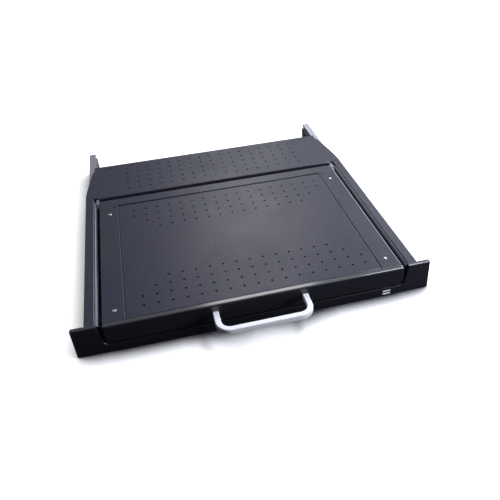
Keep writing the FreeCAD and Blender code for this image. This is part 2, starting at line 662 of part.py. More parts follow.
def key(x0, x1, y0, y1):
    """One key: a tapered cap with a stem under it."""
    edge = KEY_GAP / 2
    low = Part.makePolygon([V(x0 + edge, y0 + edge, KEY_UNDER), V(x1 - edge, y0 + edge, KEY_UNDER),
                            V(x1 - edge, y1 - edge, KEY_UNDER), V(x0 + edge, y1 - edge, KEY_UNDER),
                            V(x0 + edge, y0 + edge, KEY_UNDER)])
    in_x = edge + KEY_TAPER / 2
    near = y0 + edge + KEY_TAPER * 0.35
    far = y1 - edge - KEY_TAPER * 0.65
    high = Part.makePolygon([V(x0 + in_x, near, KEY_TOP - KEY_RAKE),
                             V(x1 - in_x, near, KEY_TOP - KEY_RAKE),
                             V(x1 - in_x, far, KEY_TOP), V(x0 + in_x, far, KEY_TOP),
                             V(x0 + in_x, near, KEY_TOP - KEY_RAKE)])
    cap = Part.makeLoft([low, high], True, True)
    x = (x0 + x1) / 2
    y = (y0 + y1) / 2
    stem = box(x - STEM / 2, x + STEM / 2, y - STEM / 2, y + STEM / 2, KEY_PLATE_TOP - KEY_PLATE_T,
               KEY_UNDER + 0.2)
    return cap.fuse(stem).removeSplitter()


def key_row(units, row, start):
    """Keys side by side; row 0 is the function row at the back."""
    y1 = KEYS_Y - row * KEY_PITCH
    keys = []
    x = start
    for width in units:
        keys.append(key(x, x + width * KEY_PITCH, y1 - KEY_PITCH, y1))
        x += width * KEY_PITCH
    return keys


def keyboard_nodes():
    left = key_field_left()
    nodes = {}
    for row, (name, units) in enumerate(KEY_ROWS):
        nodes[name] = key_row(units, row, left)
    space = nodes["bottom_keys"].pop(3)
    nodes["space_bar"] = [space]
    pad_left = left + MAIN_UNITS * KEY_PITCH + KEY_BLOCK_GAP
    nodes["number_pad_keys"] = [one for row in range(len(KEY_ROWS)) for one in key_row([1] * PAD_UNITS,
                                                                                       row, pad_left)]
    return {name: group(keys) for name, keys in nodes.items()}


def keyboard_plate():
    """Carrier plate with one guide slot for each row of stems."""
    left = key_field_left() - 2
    right = -key_field_left() + 2
    back = KEYS_Y + 2
    front = KEYS_FRONT - 2
    top = KEY_PLATE_TOP
    low = top - KEY_PLATE_T
    outline = [(front, FLOOR), (front, top), (back, top), (back, FLOOR), (back - KEY_PLATE_T, FLOOR),
               (back - KEY_PLATE_T, low), (front + KEY_PLATE_T, low), (front + KEY_PLATE_T, FLOOR)]
    plate = face([(left, y, z) for y, z in outline]).extrude(V(right - left, 0, 0))
    tools = []
    for row in range(len(KEY_ROWS)):
        y = KEYS_Y - (row + 0.5) * KEY_PITCH
        tools.append(box(left + 6, right - 6, y - STEM / 2 - FIT, y + STEM / 2 + FIT, low - 1, top + 1))
    return cut_all(plate, tools)


def keyboard_deck():
    """Top sheet of the keyboard bay with openings for keys and touchpad."""
    half = TRAY_IN - FIT
    low = DECK_TOP - SHEET
    right = [(half, FLOOR), (half, DECK_TOP), (-half, DECK_TOP), (-half, FLOOR), (-half + SHEET, FLOOR),
             (-half + SHEET, low), (half - SHEET, low), (half - SHEET, FLOOR)]
    deck = along_y(right, DECK_FRONT, DECK_BACK)
    bends = edges_where(deck, lambda e: lies_at(e, z=DECK_TOP) and e.BoundBox.YLength > 10)
    deck = deck.makeFillet(SHEET, bends)
    left = key_field_left()
    front = KEYS_FRONT
    middle = left + MAIN_UNITS * KEY_PITCH
    tools = [box(left, middle, front, KEYS_Y, low - 1, DECK_TOP + 1),
             box(middle + KEY_BLOCK_GAP, -left, front, KEYS_Y, low - 1, DECK_TOP + 1),
             box(PAD_X - PAD_W / 2, PAD_X + PAD_W / 2, PAD_Y - PAD_D / 2, PAD_Y + PAD_D / 2, low - 1,
                 DECK_TOP + 1)]
    tools.append(box(PAD_X - PAD_W / 2, PAD_X + PAD_W / 2, PAD_Y - PAD_D / 2 - 3 - PAD_BUTTON_D,
                     PAD_Y - PAD_D / 2 - 3, low - 1, DECK_TOP + 1))
    return cut_all(deck, tools)


def touchpad():
    """Sensing plate with a rim held under the deck."""
    low = DECK_TOP - SHEET
    plate = box(PAD_X - PAD_W / 2 + FIT, PAD_X + PAD_W / 2 - FIT, PAD_Y - PAD_D / 2 + FIT,
                PAD_Y + PAD_D / 2 - FIT,
                low - 0.1, DECK_TOP - 0.4)
    rim = box(PAD_X - PAD_W / 2 - 3, PAD_X + PAD_W / 2 + 3, PAD_Y - PAD_D / 2 - 1.5,
              PAD_Y + PAD_D / 2 + 3,
              low - 1.6, low)
    return plate.fuse(rim).removeSplitter()


def pad_button(side):
    """Click button below the touchpad."""
    y1 = PAD_Y - PAD_D / 2 - 3
    x0 = 0.4
    x1 = PAD_W / 2 - FIT
    low = DECK_TOP - SHEET
    cap = box(x0, x1, y1 - PAD_BUTTON_D + FIT, y1 - FIT, low - 0.6, DECK_TOP + 0.6)
    cap = cap.makeFillet(0.5, edges_where(cap, lambda e: lies_at(e, z=DECK_TOP + 0.6)))
    cap = mirrored(cap, side)
    cap.translate(V(PAD_X, 0, 0))
    return cap


# ---------------------------------------------------------------- electronics under the rear cover

def kvm_board():
    return box(BOARD_X0, BOARD_X1, BOARD_Y0, BOARD_Y1, BOARD_Z, BOARD_Z + BOARD_T)


def board_standoffs():
    posts = []
    for x in (BOARD_X0 + 5, BOARD_X1 - 5):
        for y in (BOARD_Y0 + 5, BOARD_Y1 - 5):
            ring = [(x + 2.8 * math.cos(math.radians(60 * n)), y + 2.8 * math.sin(math.radians(60 * n)))
                    for n in range(6)]
            posts.append(along_z(ring, FLOOR, BOARD_Z))
    return group(posts)


def power_supply():
    """Closed supply with cooling slots in its lid."""
    body = box(SUPPLY_X, SUPPLY_X + SUPPLY_W, SUPPLY_Y, SUPPLY_Y + SUPPLY_D, FLOOR, SUPPLY_TOP)
    body = body.makeFillet(1.0, edges_where(body, lambda e: lies_at(e, z=SUPPLY_TOP)))
    slots = [box(SUPPLY_X + 10 + n * 12, SUPPLY_X + 15 + n * 12, SUPPLY_Y + 10, SUPPLY_Y + SUPPLY_D - 10,
                 SUPPLY_TOP - 1.5, SUPPLY_TOP + 1) for n in range(7)]
    return cut_all(body, slots)


def iec_inlet():
    """Mains inlet: flange outside, body inside, recess with three blades."""
    x, width, z, height = INLET
    flange = box(x - 25, x + 25, TRAY_END, TRAY_END + 2.5, z - 12, z + 12)
    flange = flange.makeFillet(5.0, edges_where(flange, lambda e: e.BoundBox.YLength > 2))
    body = box(x - width / 2 + 0.2, x + width / 2 - 0.2, TRAY_END - 24, TRAY_END + 1,
               z - height / 2 + 0.2,
               z + height / 2 - 0.2)
    shape = flange.fuse(body).removeSplitter()
    y0 = TRAY_END + 2.5 - 17
    recess = [(x - 12, z + 8), (x + 12, z + 8), (x + 12, z - 3.5), (x + 7.5, z - 8), (x - 7.5, z - 8),
              (x - 12, z - 3.5)]
    shape = shape.cut(along_y(recess, y0, TRAY_END + 4))
    blades = [box(x + dx - 1, x + dx + 1, y0 - 0.5, TRAY_END - 1, z + dz - 2, z + dz + 2)
              for dx, dz in ((-7, -1.5), (7, -1.5), (0, 2.5))]
    screws = [prism(1.7, (x + dx, TRAY_END - 1, z), (0, 1, 0), 5) for dx in (-20, 20)]
    return cut_all(shape.fuse(blades), screws)


def switch_housing():
    x, width, z, height = SWITCH
    flange = box(x - 10.8, x + 10.8, TRAY_END, TRAY_END + 1.8, z - 7.6, z + 7.6)
    body = box(x - width / 2 + 0.2, x + width / 2 - 0.2, TRAY_END - 12, TRAY_END + 1,
               z - height / 2 + 0.2,
               z + height / 2 - 0.2)
    well = box(x - 8.4, x + 8.4, TRAY_END - 8, TRAY_END + 3, z - 5.2, z + 5.2)
    return flange.fuse(body).removeSplitter().cut(well)


def power_rocker():
    """Rocker at rest on its off side; it turns on a short upright pin."""
    x, width, z, height = SWITCH
    y = TRAY_END - 2.0
    outline = [(x - 7.6, y - 1.0), (x - 7.6, y + 3.4), (x, y + 2.2), (x + 7.6, y + 3.4),
               (x + 7.6, y - 1.0),
               (x, y - 3.6)]
    rocker = along_z(outline, z - 4.9, z + 4.9)
    rocker.rotate(V(x, y, z), V(0, 0, 1), -ROCKER_TILT)
    return rocker.fuse(cylinder(ROCKER_PIN_R, (x, y, z - 5.1), (0, 0, 1), 10.2))


def video_port():
    """Fifteen way port: metal shell on a moulded body that stands on the board."""
    x, width, z, height = VIDEO
    body = box(x - 15.3, x + 15.3, TRAY_END - 14, TRAY_END - SHEET, BOARD_Z + BOARD_T, z + 6.2)
    shell = [(x - 8.6, z + 4.0), (x + 8.6, z + 4.0), (x + 7.2, z - 4.0), (x - 7.2, z - 4.0)]
    hollow = [(x - 7.8, z + 3.3), (x + 7.8, z + 3.3), (x + 6.6, z - 3.3), (x - 6.6, z - 3.3)]
    nose = along_y(shell, TRAY_END - SHEET - 1, TRAY_END + 6)
    pocket = along_y(hollow, TRAY_END - 1, TRAY_END + 7)
    posts = [prism(2.6, (x + dx, TRAY_END - SHEET - 1, z), (0, 1, 0), 6, 6) for dx in (-12.5, 12.5)]
    return body.fuse([nose] + posts).removeSplitter().cut(pocket)


def usb_port():
    x, width, z, height = USB
    shell = box(x - 6.5, x + 6.5, TRAY_END - 16, TRAY_END + 0.8, BOARD_Z + BOARD_T, z + 2.8)
    mouth = box(x - 5.9, x + 5.9, TRAY_END - 8, TRAY_END + 2, z - 2.2, z + 2.2)
    tongue = box(x - 5.2, x + 5.2, TRAY_END - 9, TRAY_END - 1, z + 0.4, z + 1.6)
    return shell.cut(mouth).fuse(tongue)


# ---------------------------------------------------------------- lid

def lid_outline(inset=0.0, top=LID_TOP):
    """Front view of the lid: small radii at the top edges, larger ones below."""
    half = LID_HALF - inset
    low = LID_UNDER + inset
    r_top = max(LID_EDGE_R - inset, 0.4)
    r_low = LID_CORNER_R - inset
    cos45 = math.cos(math.radians(45))
    edges = []

    def line(a, b):
        edges.append(Part.LineSegment(V(a[0], 0, a[1]), V(b[0], 0, b[1])).toShape())

    def arc(a, m, b):
        edges.append(Part.Arc(V(a[0], 0, a[1]), V(m[0], 0, m[1]), V(b[0], 0, b[1])).toShape())

    line((-half + r_top, top), (half - r_top, top))
    arc((half - r_top, top), (half - r_top + r_top * cos45, top - r_top + r_top * cos45),
        (half, top - r_top))
    line((half, top - r_top), (half, low + r_low))
    arc((half, low + r_low), (half - r_low + r_low * cos45, low + r_low - r_low * cos45),
        (half - r_low, low))
    line((half - r_low, low), (-half + r_low, low))
    arc((-half + r_low, low), (-half + r_low - r_low * cos45, low + r_low - r_low * cos45),
        (-half, low + r_low))
    line((-half, low + r_low), (-half, top - r_top))
    arc((-half, top - r_top), (-half + r_top - r_top * cos45, top - r_top + r_top * cos45),
        (-half + r_top, top))
    return Part.Face(Part.Wire(edges))


def lid_block(y0, y1, inset=0.0, top=LID_TOP):
    block = lid_outline(inset, top).extrude(V(0, y1 - y0, 0))
    block.translate(V(0, y0, 0))
    return block


def lid_frame():
    """Moulded frame: open in front, recessed on top for the vent panel, open below for the screen."""
    y0 = LID_FRONT + BAR_D
    frame = lid_block(y0, LID_BACK)
    back_edge = edges_where(frame, lambda e: lies_at(e, y=LID_BACK))
    frame = frame.makeFillet(1.0, back_edge)
    cavity = lid_block(y0 - 1, LID_BACK - LID_WALL, LID_WALL, LID_TOP - LID_ROOF)
    pocket_half = PANEL_HALF + GROOVE
    pocket_back = PANEL_BACK + GROOVE_BACK
    pocket = box(-pocket_half, pocket_half, y0 - 1, pocket_back, PANEL_SEAT, LID_TOP + 1)
    light = box(-pocket_half + LEDGE, pocket_half - LEDGE, y0 + LEDGE, pocket_back - LEDGE,
                LID_TOP - LID_ROOF - 1, LID_TOP)
    below = box(-LCD_FRAME_HALF - FIT, LCD_FRAME_HALF + FIT, y0 - 1, LCD_FRAME_BACK + FIT,
                LID_UNDER - 1, LID_UNDER + LID_WALL + 1)
    tools = [cavity, pocket, light, below, seam(y0, 1)]
    for side in SIDES.values():
        pin = cylinder(HINGE_PIN_R + 0.6, (LID_HALF - LID_WALL - 1, HINGE_Y, HINGE_Z), (1, 0, 0),
                       LID_WALL + 3)
        tools.append(mirrored(pin, side))
        tools.append(prism(PANEL_PIN_R, (side * PANEL_PIN_X, PANEL_BACK, LID_TOP - LID_ROOF - 1),
                           (0, 0, 1), LID_ROOF + 2))
    for x, y in lid_screw_places():
        tools.append(prism(1.5, (x, y, LID_TOP - LID_ROOF - 1), (0, 0, 1), LID_ROOF + 2))
        tools.append(prism(LID_SCREW_R + FIT, (x, y, LID_TOP - 0.9), (0, 0, 1), 2, 16))
    return cut_all(frame, tools)


def seam(y, toward):
    """Bevel across the lid's top, where the frame and the front bar meet."""
    outline = [(y - toward, LID_TOP + 1), (y + toward * (LID_SEAM + 1), LID_TOP + 1),
               (y - toward, LID_TOP - LID_SEAM - 1)]
    return face([(-LID_HALF - 1, a, z) for a, z in outline]).extrude(V(2 * LID_HALF + 2, 0, 0))


def lid_screw_places():
    return [(side * LID_SCREW_X, y) for side in SIDES.values() for y in LID_SCREW_Y]


def lid_screws():
    """Bevelled screws in shallow counterbores; they hold the display brackets."""
    screws = []
    for x, y in lid_screw_places():
        z = LID_TOP - 0.9
        head = prism(LID_SCREW_R, (x, y, z), (0, 0, 1), 1.1, 16)
        head = head.makeChamfer(0.5, edges_where(head, lambda e: lies_at(e, z=z + 1.1)))
        cross = box(x - 1.4, x + 1.4, y - 0.3, y + 0.3, z + 0.5, z + 1.5)
        cross = cross.fuse(box(x - 0.3, x + 0.3, y - 1.4, y + 1.4, z + 0.5, z + 1.5))
        screws.append(head.cut(cross).fuse(prism(1.2, (x, y, z - 4.6), (0, 0, 1), 4.6)))
    return group(screws)


def lid_front_bar():
    """Bar across the front of the lid, with rounded front edges; the handle is bolted to it."""
    bar = lid_block(LID_FRONT, LID_FRONT + BAR_D)
    front = edges_where(bar, lambda e: lies_at(e, y=LID_FRONT))
    bar = bar.makeFillet(LID_BAR_R, front)
    tools = [prism(2.2, (x, LID_FRONT - 1, HANDLE_Z), (0, 1, 0), BAR_D + 2) for x in handle_legs()]
    return cut_all(bar, tools + [seam(LID_FRONT + BAR_D, -1)])


def handle_legs():
    return [side * (HANDLE_W / 2 - HANDLE_BAR / 2) for side in SIDES.values()]


def handle():
    """Bow handle: one bar bent through two round corners."""
    half = HANDLE_W / 2
    near = LID_FRONT
    far = LID_FRONT - HANDLE_REACH
    z0 = HANDLE_Z - HANDLE_BAR / 2
    cos45 = math.cos(math.radians(45))
    edges = []
    for offset, flip in ((0.0, 1), (HANDLE_BAR, -1)):
        x = half - offset
        y = far + offset
        r = HANDLE_R - offset
        part = [Part.LineSegment(V(-x, near, z0), V(-x, y + r, z0)),
                Part.Arc(V(-x, y + r, z0), V(-x + r - r * cos45, y + r - r * cos45, z0),
                         V(-x + r, y, z0)),
                Part.LineSegment(V(-x + r, y, z0), V(x - r, y, z0)),
                Part.Arc(V(x - r, y, z0), V(x - r + r * cos45, y + r - r * cos45, z0), V(x, y + r, z0)),
                Part.LineSegment(V(x, y + r, z0), V(x, near, z0))]
        edges += [segment.toShape() for segment in part]
    for side in (-1, 1):
        edges.append(Part.LineSegment(V(side * half, near, z0),
                                      V(side * (half - HANDLE_BAR), near, z0)).toShape())
    wire = Part.Wire(Part.__sortEdges__(edges))
    bow = Part.Face(wire).extrude(V(0, 0, HANDLE_BAR))
    long_edges = edges_where(bow, lambda e: e.BoundBox.ZLength < 0.01 and not lies_at(e, y=near))
    bow = bow.makeFillet(HANDLE_EDGE_R, long_edges)
    holes = [prism(1.9, (x, near - HANDLE_THREAD, HANDLE_Z), (0, 1, 0),
                   HANDLE_THREAD + 1) for x in handle_legs()]
    return cut_all(bow, holes)


def handle_screws():
    """Screws from inside the lid, through the bar and into the handle's legs."""
    screws = []
    back = LID_FRONT + BAR_D
    for x in handle_legs():
        shank = prism(1.9, (x, LID_FRONT - HANDLE_THREAD + 0.5, HANDLE_Z), (0, 1, 0),
                      HANDLE_THREAD + BAR_D - 0.5)
        head = prism(3.4, (x, back, HANDLE_Z), (0, 1, 0), 2.2, 16)
        head = head.makeChamfer(0.8, edges_where(head, lambda e: lies_at(e, y=back + 2.2)))
        socket = prism(1.4, (x, back + 0.9, HANDLE_Z), (0, 1, 0), 2.0, 6)
        screws.append(head.cut(socket).fuse(shank))
    return group(screws)


def lid_vent_panel():
    """Flat panel in the lid's top, with a graded vent pattern front and back."""
    y0 = LID_FRONT + BAR_D + GROOVE_FRONT
    panel = box(-PANEL_HALF, PANEL_HALF, y0, PANEL_BACK, PANEL_SEAT, LID_TOP)
    panel = panel.makeFillet(0.6, edges_where(panel, lambda e: lies_at(e, y=y0, z=LID_TOP)))
    panel = panel.makeFillet(0.3, edges_where(panel,
                                              lambda e: lies_at(e,
                                                                z=LID_TOP) and e.BoundBox.YLength > 10))
    holes = []
    for row, columns in enumerate(VENT_ROWS):
        for column in range(columns):
            x = PANEL_VENT_X + (column - (columns - 1) / 2) * VENT_PITCH
            for y in (PANEL_VENT_FRONT + row * VENT_PITCH, PANEL_VENT_REAR - row * VENT_PITCH):
                holes.append(vent(x, y, PANEL_SEAT - 1, LID_TOP + 1))
    return cut_all(panel, holes)


def lcd_frame():
    """Frame round the screen, on the lid's underside."""
    y0 = LID_FRONT + BAR_D
    top = LID_UNDER + LCD_FRAME_T
    plate = box(-LCD_FRAME_HALF, LCD_FRAME_HALF, y0, LCD_FRAME_BACK, LID_UNDER, top)
    opening = centred(SCREEN_W, SCREEN_Y - SCREEN_D / 2, SCREEN_Y + SCREEN_D / 2, LID_UNDER - 1, top + 1)
    opening = opening.makeFillet(1.5, edges_where(opening, lambda e: e.BoundBox.ZLength > 1))
    plate = plate.cut(opening)
    rim = edges_where(plate, lambda e: lies_at(e, z=LID_UNDER) and abs(e.CenterOfMass.x) <= SCREEN_W / 2 + 0.1
                      and abs(e.CenterOfMass.y - SCREEN_Y) <= SCREEN_D / 2 + 0.1)
    plate = plate.makeChamfer(0.8, rim)
    return cut_all(plate, [cylinder(OSD_R + FIT, (OSD_X, y, LID_UNDER - 1), (0, 0, 1),
                                    4) for y in osd_places()])


def display_panel():
    """Display module; its glass lies behind the frame."""
    low = LID_UNDER + LCD_FRAME_T
    body = centred(DISPLAY_W, SCREEN_Y - DISPLAY_D / 2, SCREEN_Y + DISPLAY_D / 2, low, low + DISPLAY_T)
    return body.makeFillet(1.0, edges_where(body, lambda e: e.BoundBox.ZLength > 5))


def display_bracket(side):
    """Angle that hangs the display module from the lid's screws."""
    x0 = DISPLAY_W / 2
    x1 = LID_SCREW_X + 7.4
    top = LID_TOP - LID_ROOF
    low = LID_UNDER + LCD_FRAME_T
    outline = [(x0, low), (x0 + SHEET, low), (x0 + SHEET, top - SHEET), (x1, top - SHEET), (x1, top),
               (x0, top)]
    bracket = along_y(outline, LID_SCREW_Y[0] - 9.1, LID_SCREW_Y[1] + 10)
    bracket = bracket.makeFillet(SHEET, edges_where(bracket, lambda e: lies_at(e, x=x0, z=top)))
    holes = [prism(1.2, (LID_SCREW_X, y, top - 3), (0, 0, 1), 4) for y in LID_SCREW_Y]
    return mirrored(cut_all(bracket, holes), side)


def display_board():
    """Driver board on four posts behind the display module."""
    low = LID_UNDER + LCD_FRAME_T + DISPLAY_T
    post = 3.0
    y0 = SCREEN_Y - DRIVER_D / 2
    y1 = SCREEN_Y + DRIVER_D / 2
    board = centred(DRIVER_W, y0, y1, low + post, low + post + BOARD_T)
    posts = [prism(2.5, (side * (DRIVER_W / 2 - 6), y, low), (0, 0, 1), post) for side in SIDES.values()
             for y in (y0 + 6, y1 - 6)]
    return board.fuse(posts)


def osd_places():
    return [SCREEN_Y + (n - (OSD_COUNT - 1) / 2) * OSD_PITCH for n in range(OSD_COUNT)]


def osd_board():
    x0 = DISPLAY_W / 2 + SHEET
    return box(x0, LCD_FRAME_HALF, osd_places()[0] - 12, osd_places()[-1] + 12, OSD_BOARD_Z,
               OSD_BOARD_Z + BOARD_T)


def osd_button(y):
    """Menu button: cap through the frame, collar inside, stem to its switch."""
    inner = LID_UNDER + LCD_FRAME_T
    cap = prism(OSD_R, (OSD_X, y, LID_UNDER - 0.9), (0, 0, 1), inner - LID_UNDER + 1.0, 24)
    cap = cap.makeChamfer(0.4, edges_where(cap, lambda e: lies_at(e, z=LID_UNDER - 0.9)))
    collar = prism(OSD_R + 0.9, (OSD_X, y, inner + 0.1), (0, 0, 1), 0.8)
    stem = prism(1.4, (OSD_X, y, inner + 0.5), (0, 0, 1), OSD_BOARD_Z - 1.0 - inner - 0.5, 6)
    return cap.fuse([collar, stem]).removeSplitter()


# ---------------------------------------------------------------- fasteners

def cover_screws():
    return group([pan_screw(x, y, SIDE_TOP, 1.3, 1.0, 4.0) for x, y in cover_screw_places()])


def slide_screws():
    """Low headed screws from inside the tray into the inner slides."""
    screws = []
    for side in SIDES.values():
        for y in SLIDE_SCREWS:
            head = prism(2.8, (TRAY_IN - 1.0, y, SLIDE_Z), (1, 0, 0), 1.0, 16)
            shank = prism(1.5, (TRAY_IN, y, SLIDE_Z), (1, 0, 0), SHEET + RAIL_T + 0.4)
            screws.append(mirrored(head.fuse(shank), side))
    return group(screws)


# ---------------------------------------------------------------- the nodes

def all_nodes():
    nodes = {
        "bracket_rivets": bracket_rivets(),
        "base_tray": base_tray(),
        "front_bezel": front_bezel(),
        "indicator_bars": indicator_bars(),
        "rear_cover": rear_cover(),
        "rear_panel": rear_panel(),
        "cover_screws": cover_screws(),
        "slide_screws": slide_screws(),
        "keyboard_deck": keyboard_deck(),
        "keyboard_plate": keyboard_plate(),
        "touchpad": touchpad(),
        "kvm_board": kvm_board(),
        "board_standoffs": board_standoffs(),
        "power_supply": power_supply(),
        "iec_inlet": iec_inlet(),
        "switch_housing": switch_housing(),
        "power_rocker": power_rocker(),
        "video_port": video_port(),
        "usb_port": usb_port(),
        "lid_frame": lid_frame(),
        "lid_front_bar": lid_front_bar(),
        "lid_vent_panel": lid_vent_panel(),
        "lid_screws": lid_screws(),
        "handle": handle(),
        "handle_screws": handle_screws(),
        "lcd_frame": lcd_frame(),
        "display_panel": display_panel(),
        "display_board": display_board(),
        "osd_board": osd_board(),
        "outer_ball_cages": both(outer_retainer),
        "inner_ball_cages": both(inner_retainer),
        "hinge_pins": both(hinge_pin),
        "hinge_leaves": both(hinge_leaf),
        "display_brackets": both(display_bracket),
    }
    nodes.update(keyboard_nodes())
    for number, y in enumerate(osd_places(), 1):
        nodes["osd_button_%d" % number] = osd_button(y)
    for word, side in SIDES.items():
        nodes["outer_slide_" + word] = outer_slide(side)
        nodes["middle_slide_" + word] = middle_slide(side)
        nodes["inner_slide_" + word] = inner_slide(side)
        nodes["front_bracket_" + word] = front_bracket(side)
        nodes["side_cover_" + word] = side_cover(side)
        nodes["hinge_bracket_" + word] = hinge_bracket(side)
        nodes["pad_button_" + word] = pad_button(side)
    return nodes


def main():
    os.makedirs("parts", exist_ok=True)
    for name, shape in all_nodes().items():
        if not shape.isValid():
            print("not valid:", name)
        shape.exportStep("parts/%s.step" % name)


main()
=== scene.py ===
"""Finish, light and camera for a one unit rack console drawer."""

import math

import bpy
from mathutils import Matrix, Vector


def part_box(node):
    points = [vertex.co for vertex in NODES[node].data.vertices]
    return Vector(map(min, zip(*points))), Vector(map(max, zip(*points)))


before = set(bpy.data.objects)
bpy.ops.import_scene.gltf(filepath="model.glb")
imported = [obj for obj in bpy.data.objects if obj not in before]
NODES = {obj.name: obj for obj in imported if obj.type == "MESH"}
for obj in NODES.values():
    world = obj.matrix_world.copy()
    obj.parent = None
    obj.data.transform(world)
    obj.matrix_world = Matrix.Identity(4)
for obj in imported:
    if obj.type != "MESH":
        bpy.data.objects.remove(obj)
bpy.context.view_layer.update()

bl_info = {
    "name": "Rack console drawer finish",
    "version": (1, 0, 0),
    "blender": (4, 5, 0),
    "location": "3D View > Sidebar > Console",
    "description": "Paint, metal, keys, light and camera for a rack console drawer",
    "category": "Object",
}

FLOOR_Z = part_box("base_tray")[0][2]


def sides(name):
    """Names of a piece's left and right copies."""
    return [name + "_left", name + "_right"]


# ---------------------------------------------------------------- finishes
# Lengths are in metres and colours are linear.

BEVEL_SAMPLES = 4
PAINT_RELIEF = 0.0002       # depth of the grain of paint
FINE_RELIEF = 0.0001        # depth of all finer textures
PLAIN_RADIUS = 0.0003       # rounding of edges with no radius of their own
SMALLEST_WEAR = 0.0004      # narrowest band along an edge that can wear
VENT_SHADE_WIDTH = 0.0015           # width of the painted shade round a punched vent
# Colour of the painted shade round the vents, which makes the holes look larger and darker.
VENT_SHADE_COLOR = (0.001, 0.001, 0.003)
SPECK_LIFT = 0.002          # added to the channels of a speck in paint
MOULDED_LIFT = 0.003        # the same in moulded plastic
MOULDED_SPECK = 1.35        # brightness of such a speck against the plastic round it
COAT_ROUGHNESS = 0.12
METAL_DARK = 0.80           # share of its colour that metal keeps in the rolling lines
METAL_COOL = (0.95, 0.98, 1.04)     # factors of the cool tint
SPANGLE_AMOUNT = 0.4        # share of the cool tint in the spangle

# Half width, front and rear of the vents' area, where the vents' rims get painted shade.
PANEL_VENTS = (0.165, 0.004, 0.276)
COVER_VENTS = (0.185, 0.332, 0.430)

SHEET_SHINE = 0.22          # specular level of the textured paint
RUBBED_SHEET = {"worn": (0.12, 0.12, 0.13), "wear": 0.22}
RUBBED_LID = {"worn": (0.14, 0.14, 0.15), "wear": 0.18}
LID_COAT = {"roughness": 0.36, "bump": 0.65, "radius": 0.0009, "speckle": 1.1, "edge_coat": 1.0,
            **RUBBED_LID}

# Material, settings and pieces. The ones without a radius take the user's edge rounding.
SHEET_PAINTS = (
    ("sheet_paint", {"roughness": 0.38, "bump": 0.80, "speckle": 1.2, "edge_coat": 0.7,
                     **RUBBED_SHEET},
     ["base_tray", "lcd_frame", "rear_panel", *sides("side_cover")]),
    ("cover_paint", {"roughness": 0.38, "bump": 0.80, "radius": 0.0020, "speckle": 1.2,
                     "edge_coat": 1.0, "vents": COVER_VENTS, **RUBBED_SHEET},
     ["rear_cover"]),
    ("lid_paint", LID_COAT, ["lid_frame"]),
    ("panel_paint", {"vents": PANEL_VENTS, **LID_COAT}, ["lid_vent_panel"]),
)
FRONT_GRAIN = 0.8           # the front's grain as a share of the sheet's
FRONT_PAINT = {"roughness": 0.42, "bump": 0.20, "worn": (0.05, 0.05, 0.07), "wear": 0.10,
               "coat": 1.0, "speckle": 0.5}
HANDLE_COAT = {"roughness": 0.34, "grain": 0.0011, "bump": 0.14, "radius": 0.0006,
               "worn": (0.55, 0.55, 0.57), "wear": 0.10}

# Material, colour, roughness and pieces.
METALS = (
    ("slide_zinc", (0.42, 0.42, 0.45), 0.44,
     [*sides("outer_slide"), *sides("middle_slide"), *sides("inner_slide")]),
    ("cage_steel", (0.50, 0.50, 0.51), 0.30, ["outer_ball_cages", "inner_ball_cages"]),
    ("plated_steel", (0.70, 0.70, 0.71), 0.33,
     ["hinge_leaves", "display_brackets", "board_standoffs"]),
    ("bracket_zinc", (0.26, 0.26, 0.30), 0.50, sides("hinge_bracket")),
    ("supply_metal", (0.58, 0.59, 0.60), 0.42, ["power_supply"]),
    ("pin_steel", (0.66, 0.66, 0.67), 0.24, ["hinge_pins", "bracket_rivets"]),
)
SCREW_METALS = (
    ("bright_screw", (0.80, 0.79, 0.77), 0.20, ["handle_screws", "slide_screws", "lid_screws"]),
    ("black_screw", (0.085, 0.085, 0.092), 0.32, ["cover_screws"]),
)
PORT_METALS = (("port_shell", (0.66, 0.66, 0.67), 0.28, ["usb_port"]),)

# Material, colour, roughness, other settings and pieces.
KEYBOARD_PLASTICS = (
    ("key_plastic", (0.014, 0.014, 0.017), 0.34, {"grain": 0.0006, "radius": 0.0006},
     ["function_keys", "number_row_keys", "upper_letter_keys", "home_row_keys",
      "lower_letter_keys", "bottom_keys", "space_bar", "number_pad_keys"]),
    ("deck_plastic", (0.030, 0.030, 0.036), 0.46, {"grain": 0.0012, "bump": 0.45},
     ["keyboard_deck", "keyboard_plate"]),
    ("pad_surface", (0.050, 0.050, 0.056), 0.40, {"grain": 0.0005, "bump": 0.12}, ["touchpad"]),
    ("pad_button", (0.016, 0.016, 0.018), 0.30,
     {"grain": 0.0008, "bump": 0.18, "radius": 0.0005}, sides("pad_button")),
)
MENU_PLASTICS = (
    ("menu_button", (0.018, 0.018, 0.020), 0.35, {},
     [f"osd_button_{number}" for number in range(1, 5)]),
)
SOCKET_PLASTICS = (
    ("socket_plastic", (0.010, 0.010, 0.011), 0.45, {},
     ["iec_inlet", "switch_housing", "power_rocker"]),
    ("video_plastic", (0.012, 0.045, 0.19), 0.40, {}, ["video_port"]),
)

# ---------------------------------------------------------------- stage values

SENSOR_WIDTH = 36.0         # mm
CLIP_START = 0.01
FLOOR_HALF = 30.0           # half the side of the floor
FLOOR_GAP = 0.0005          # distance between the tray and the floor
FLOOR_GRAIN = 60.0          # scale of the paper's patches
FLOOR_DIM = 0.98            # the floor's darker patches as a share of its colour
FLOOR_BOUNCE = (0.04, 0.04, 0.045)      # what the floor throws back on the object
CONTACT_SHADE = (0.014, 0.013, 0.036)   # painted shadow colour of the floor where the object stands close over it
CONTACT_REACH = 0.050                   # how far round a piece its shade reaches
CONTACT_SAMPLES = 16
CONTACT_SPAN = (0.49, 0.92)             # openness from full contact shade to none

BRIGHT_SIDE = (0.30, 0.70, 0.78)        # where the room light is strongest
BRIGHT_SPAN = (-0.20, 1.0)              # cosine to that side, from dimmest to brightest
DIM_SHARE = 0.09                        # light of the dimmest side against the brightest
ROOM_COLOR = (0.83, 0.88, 1.0)

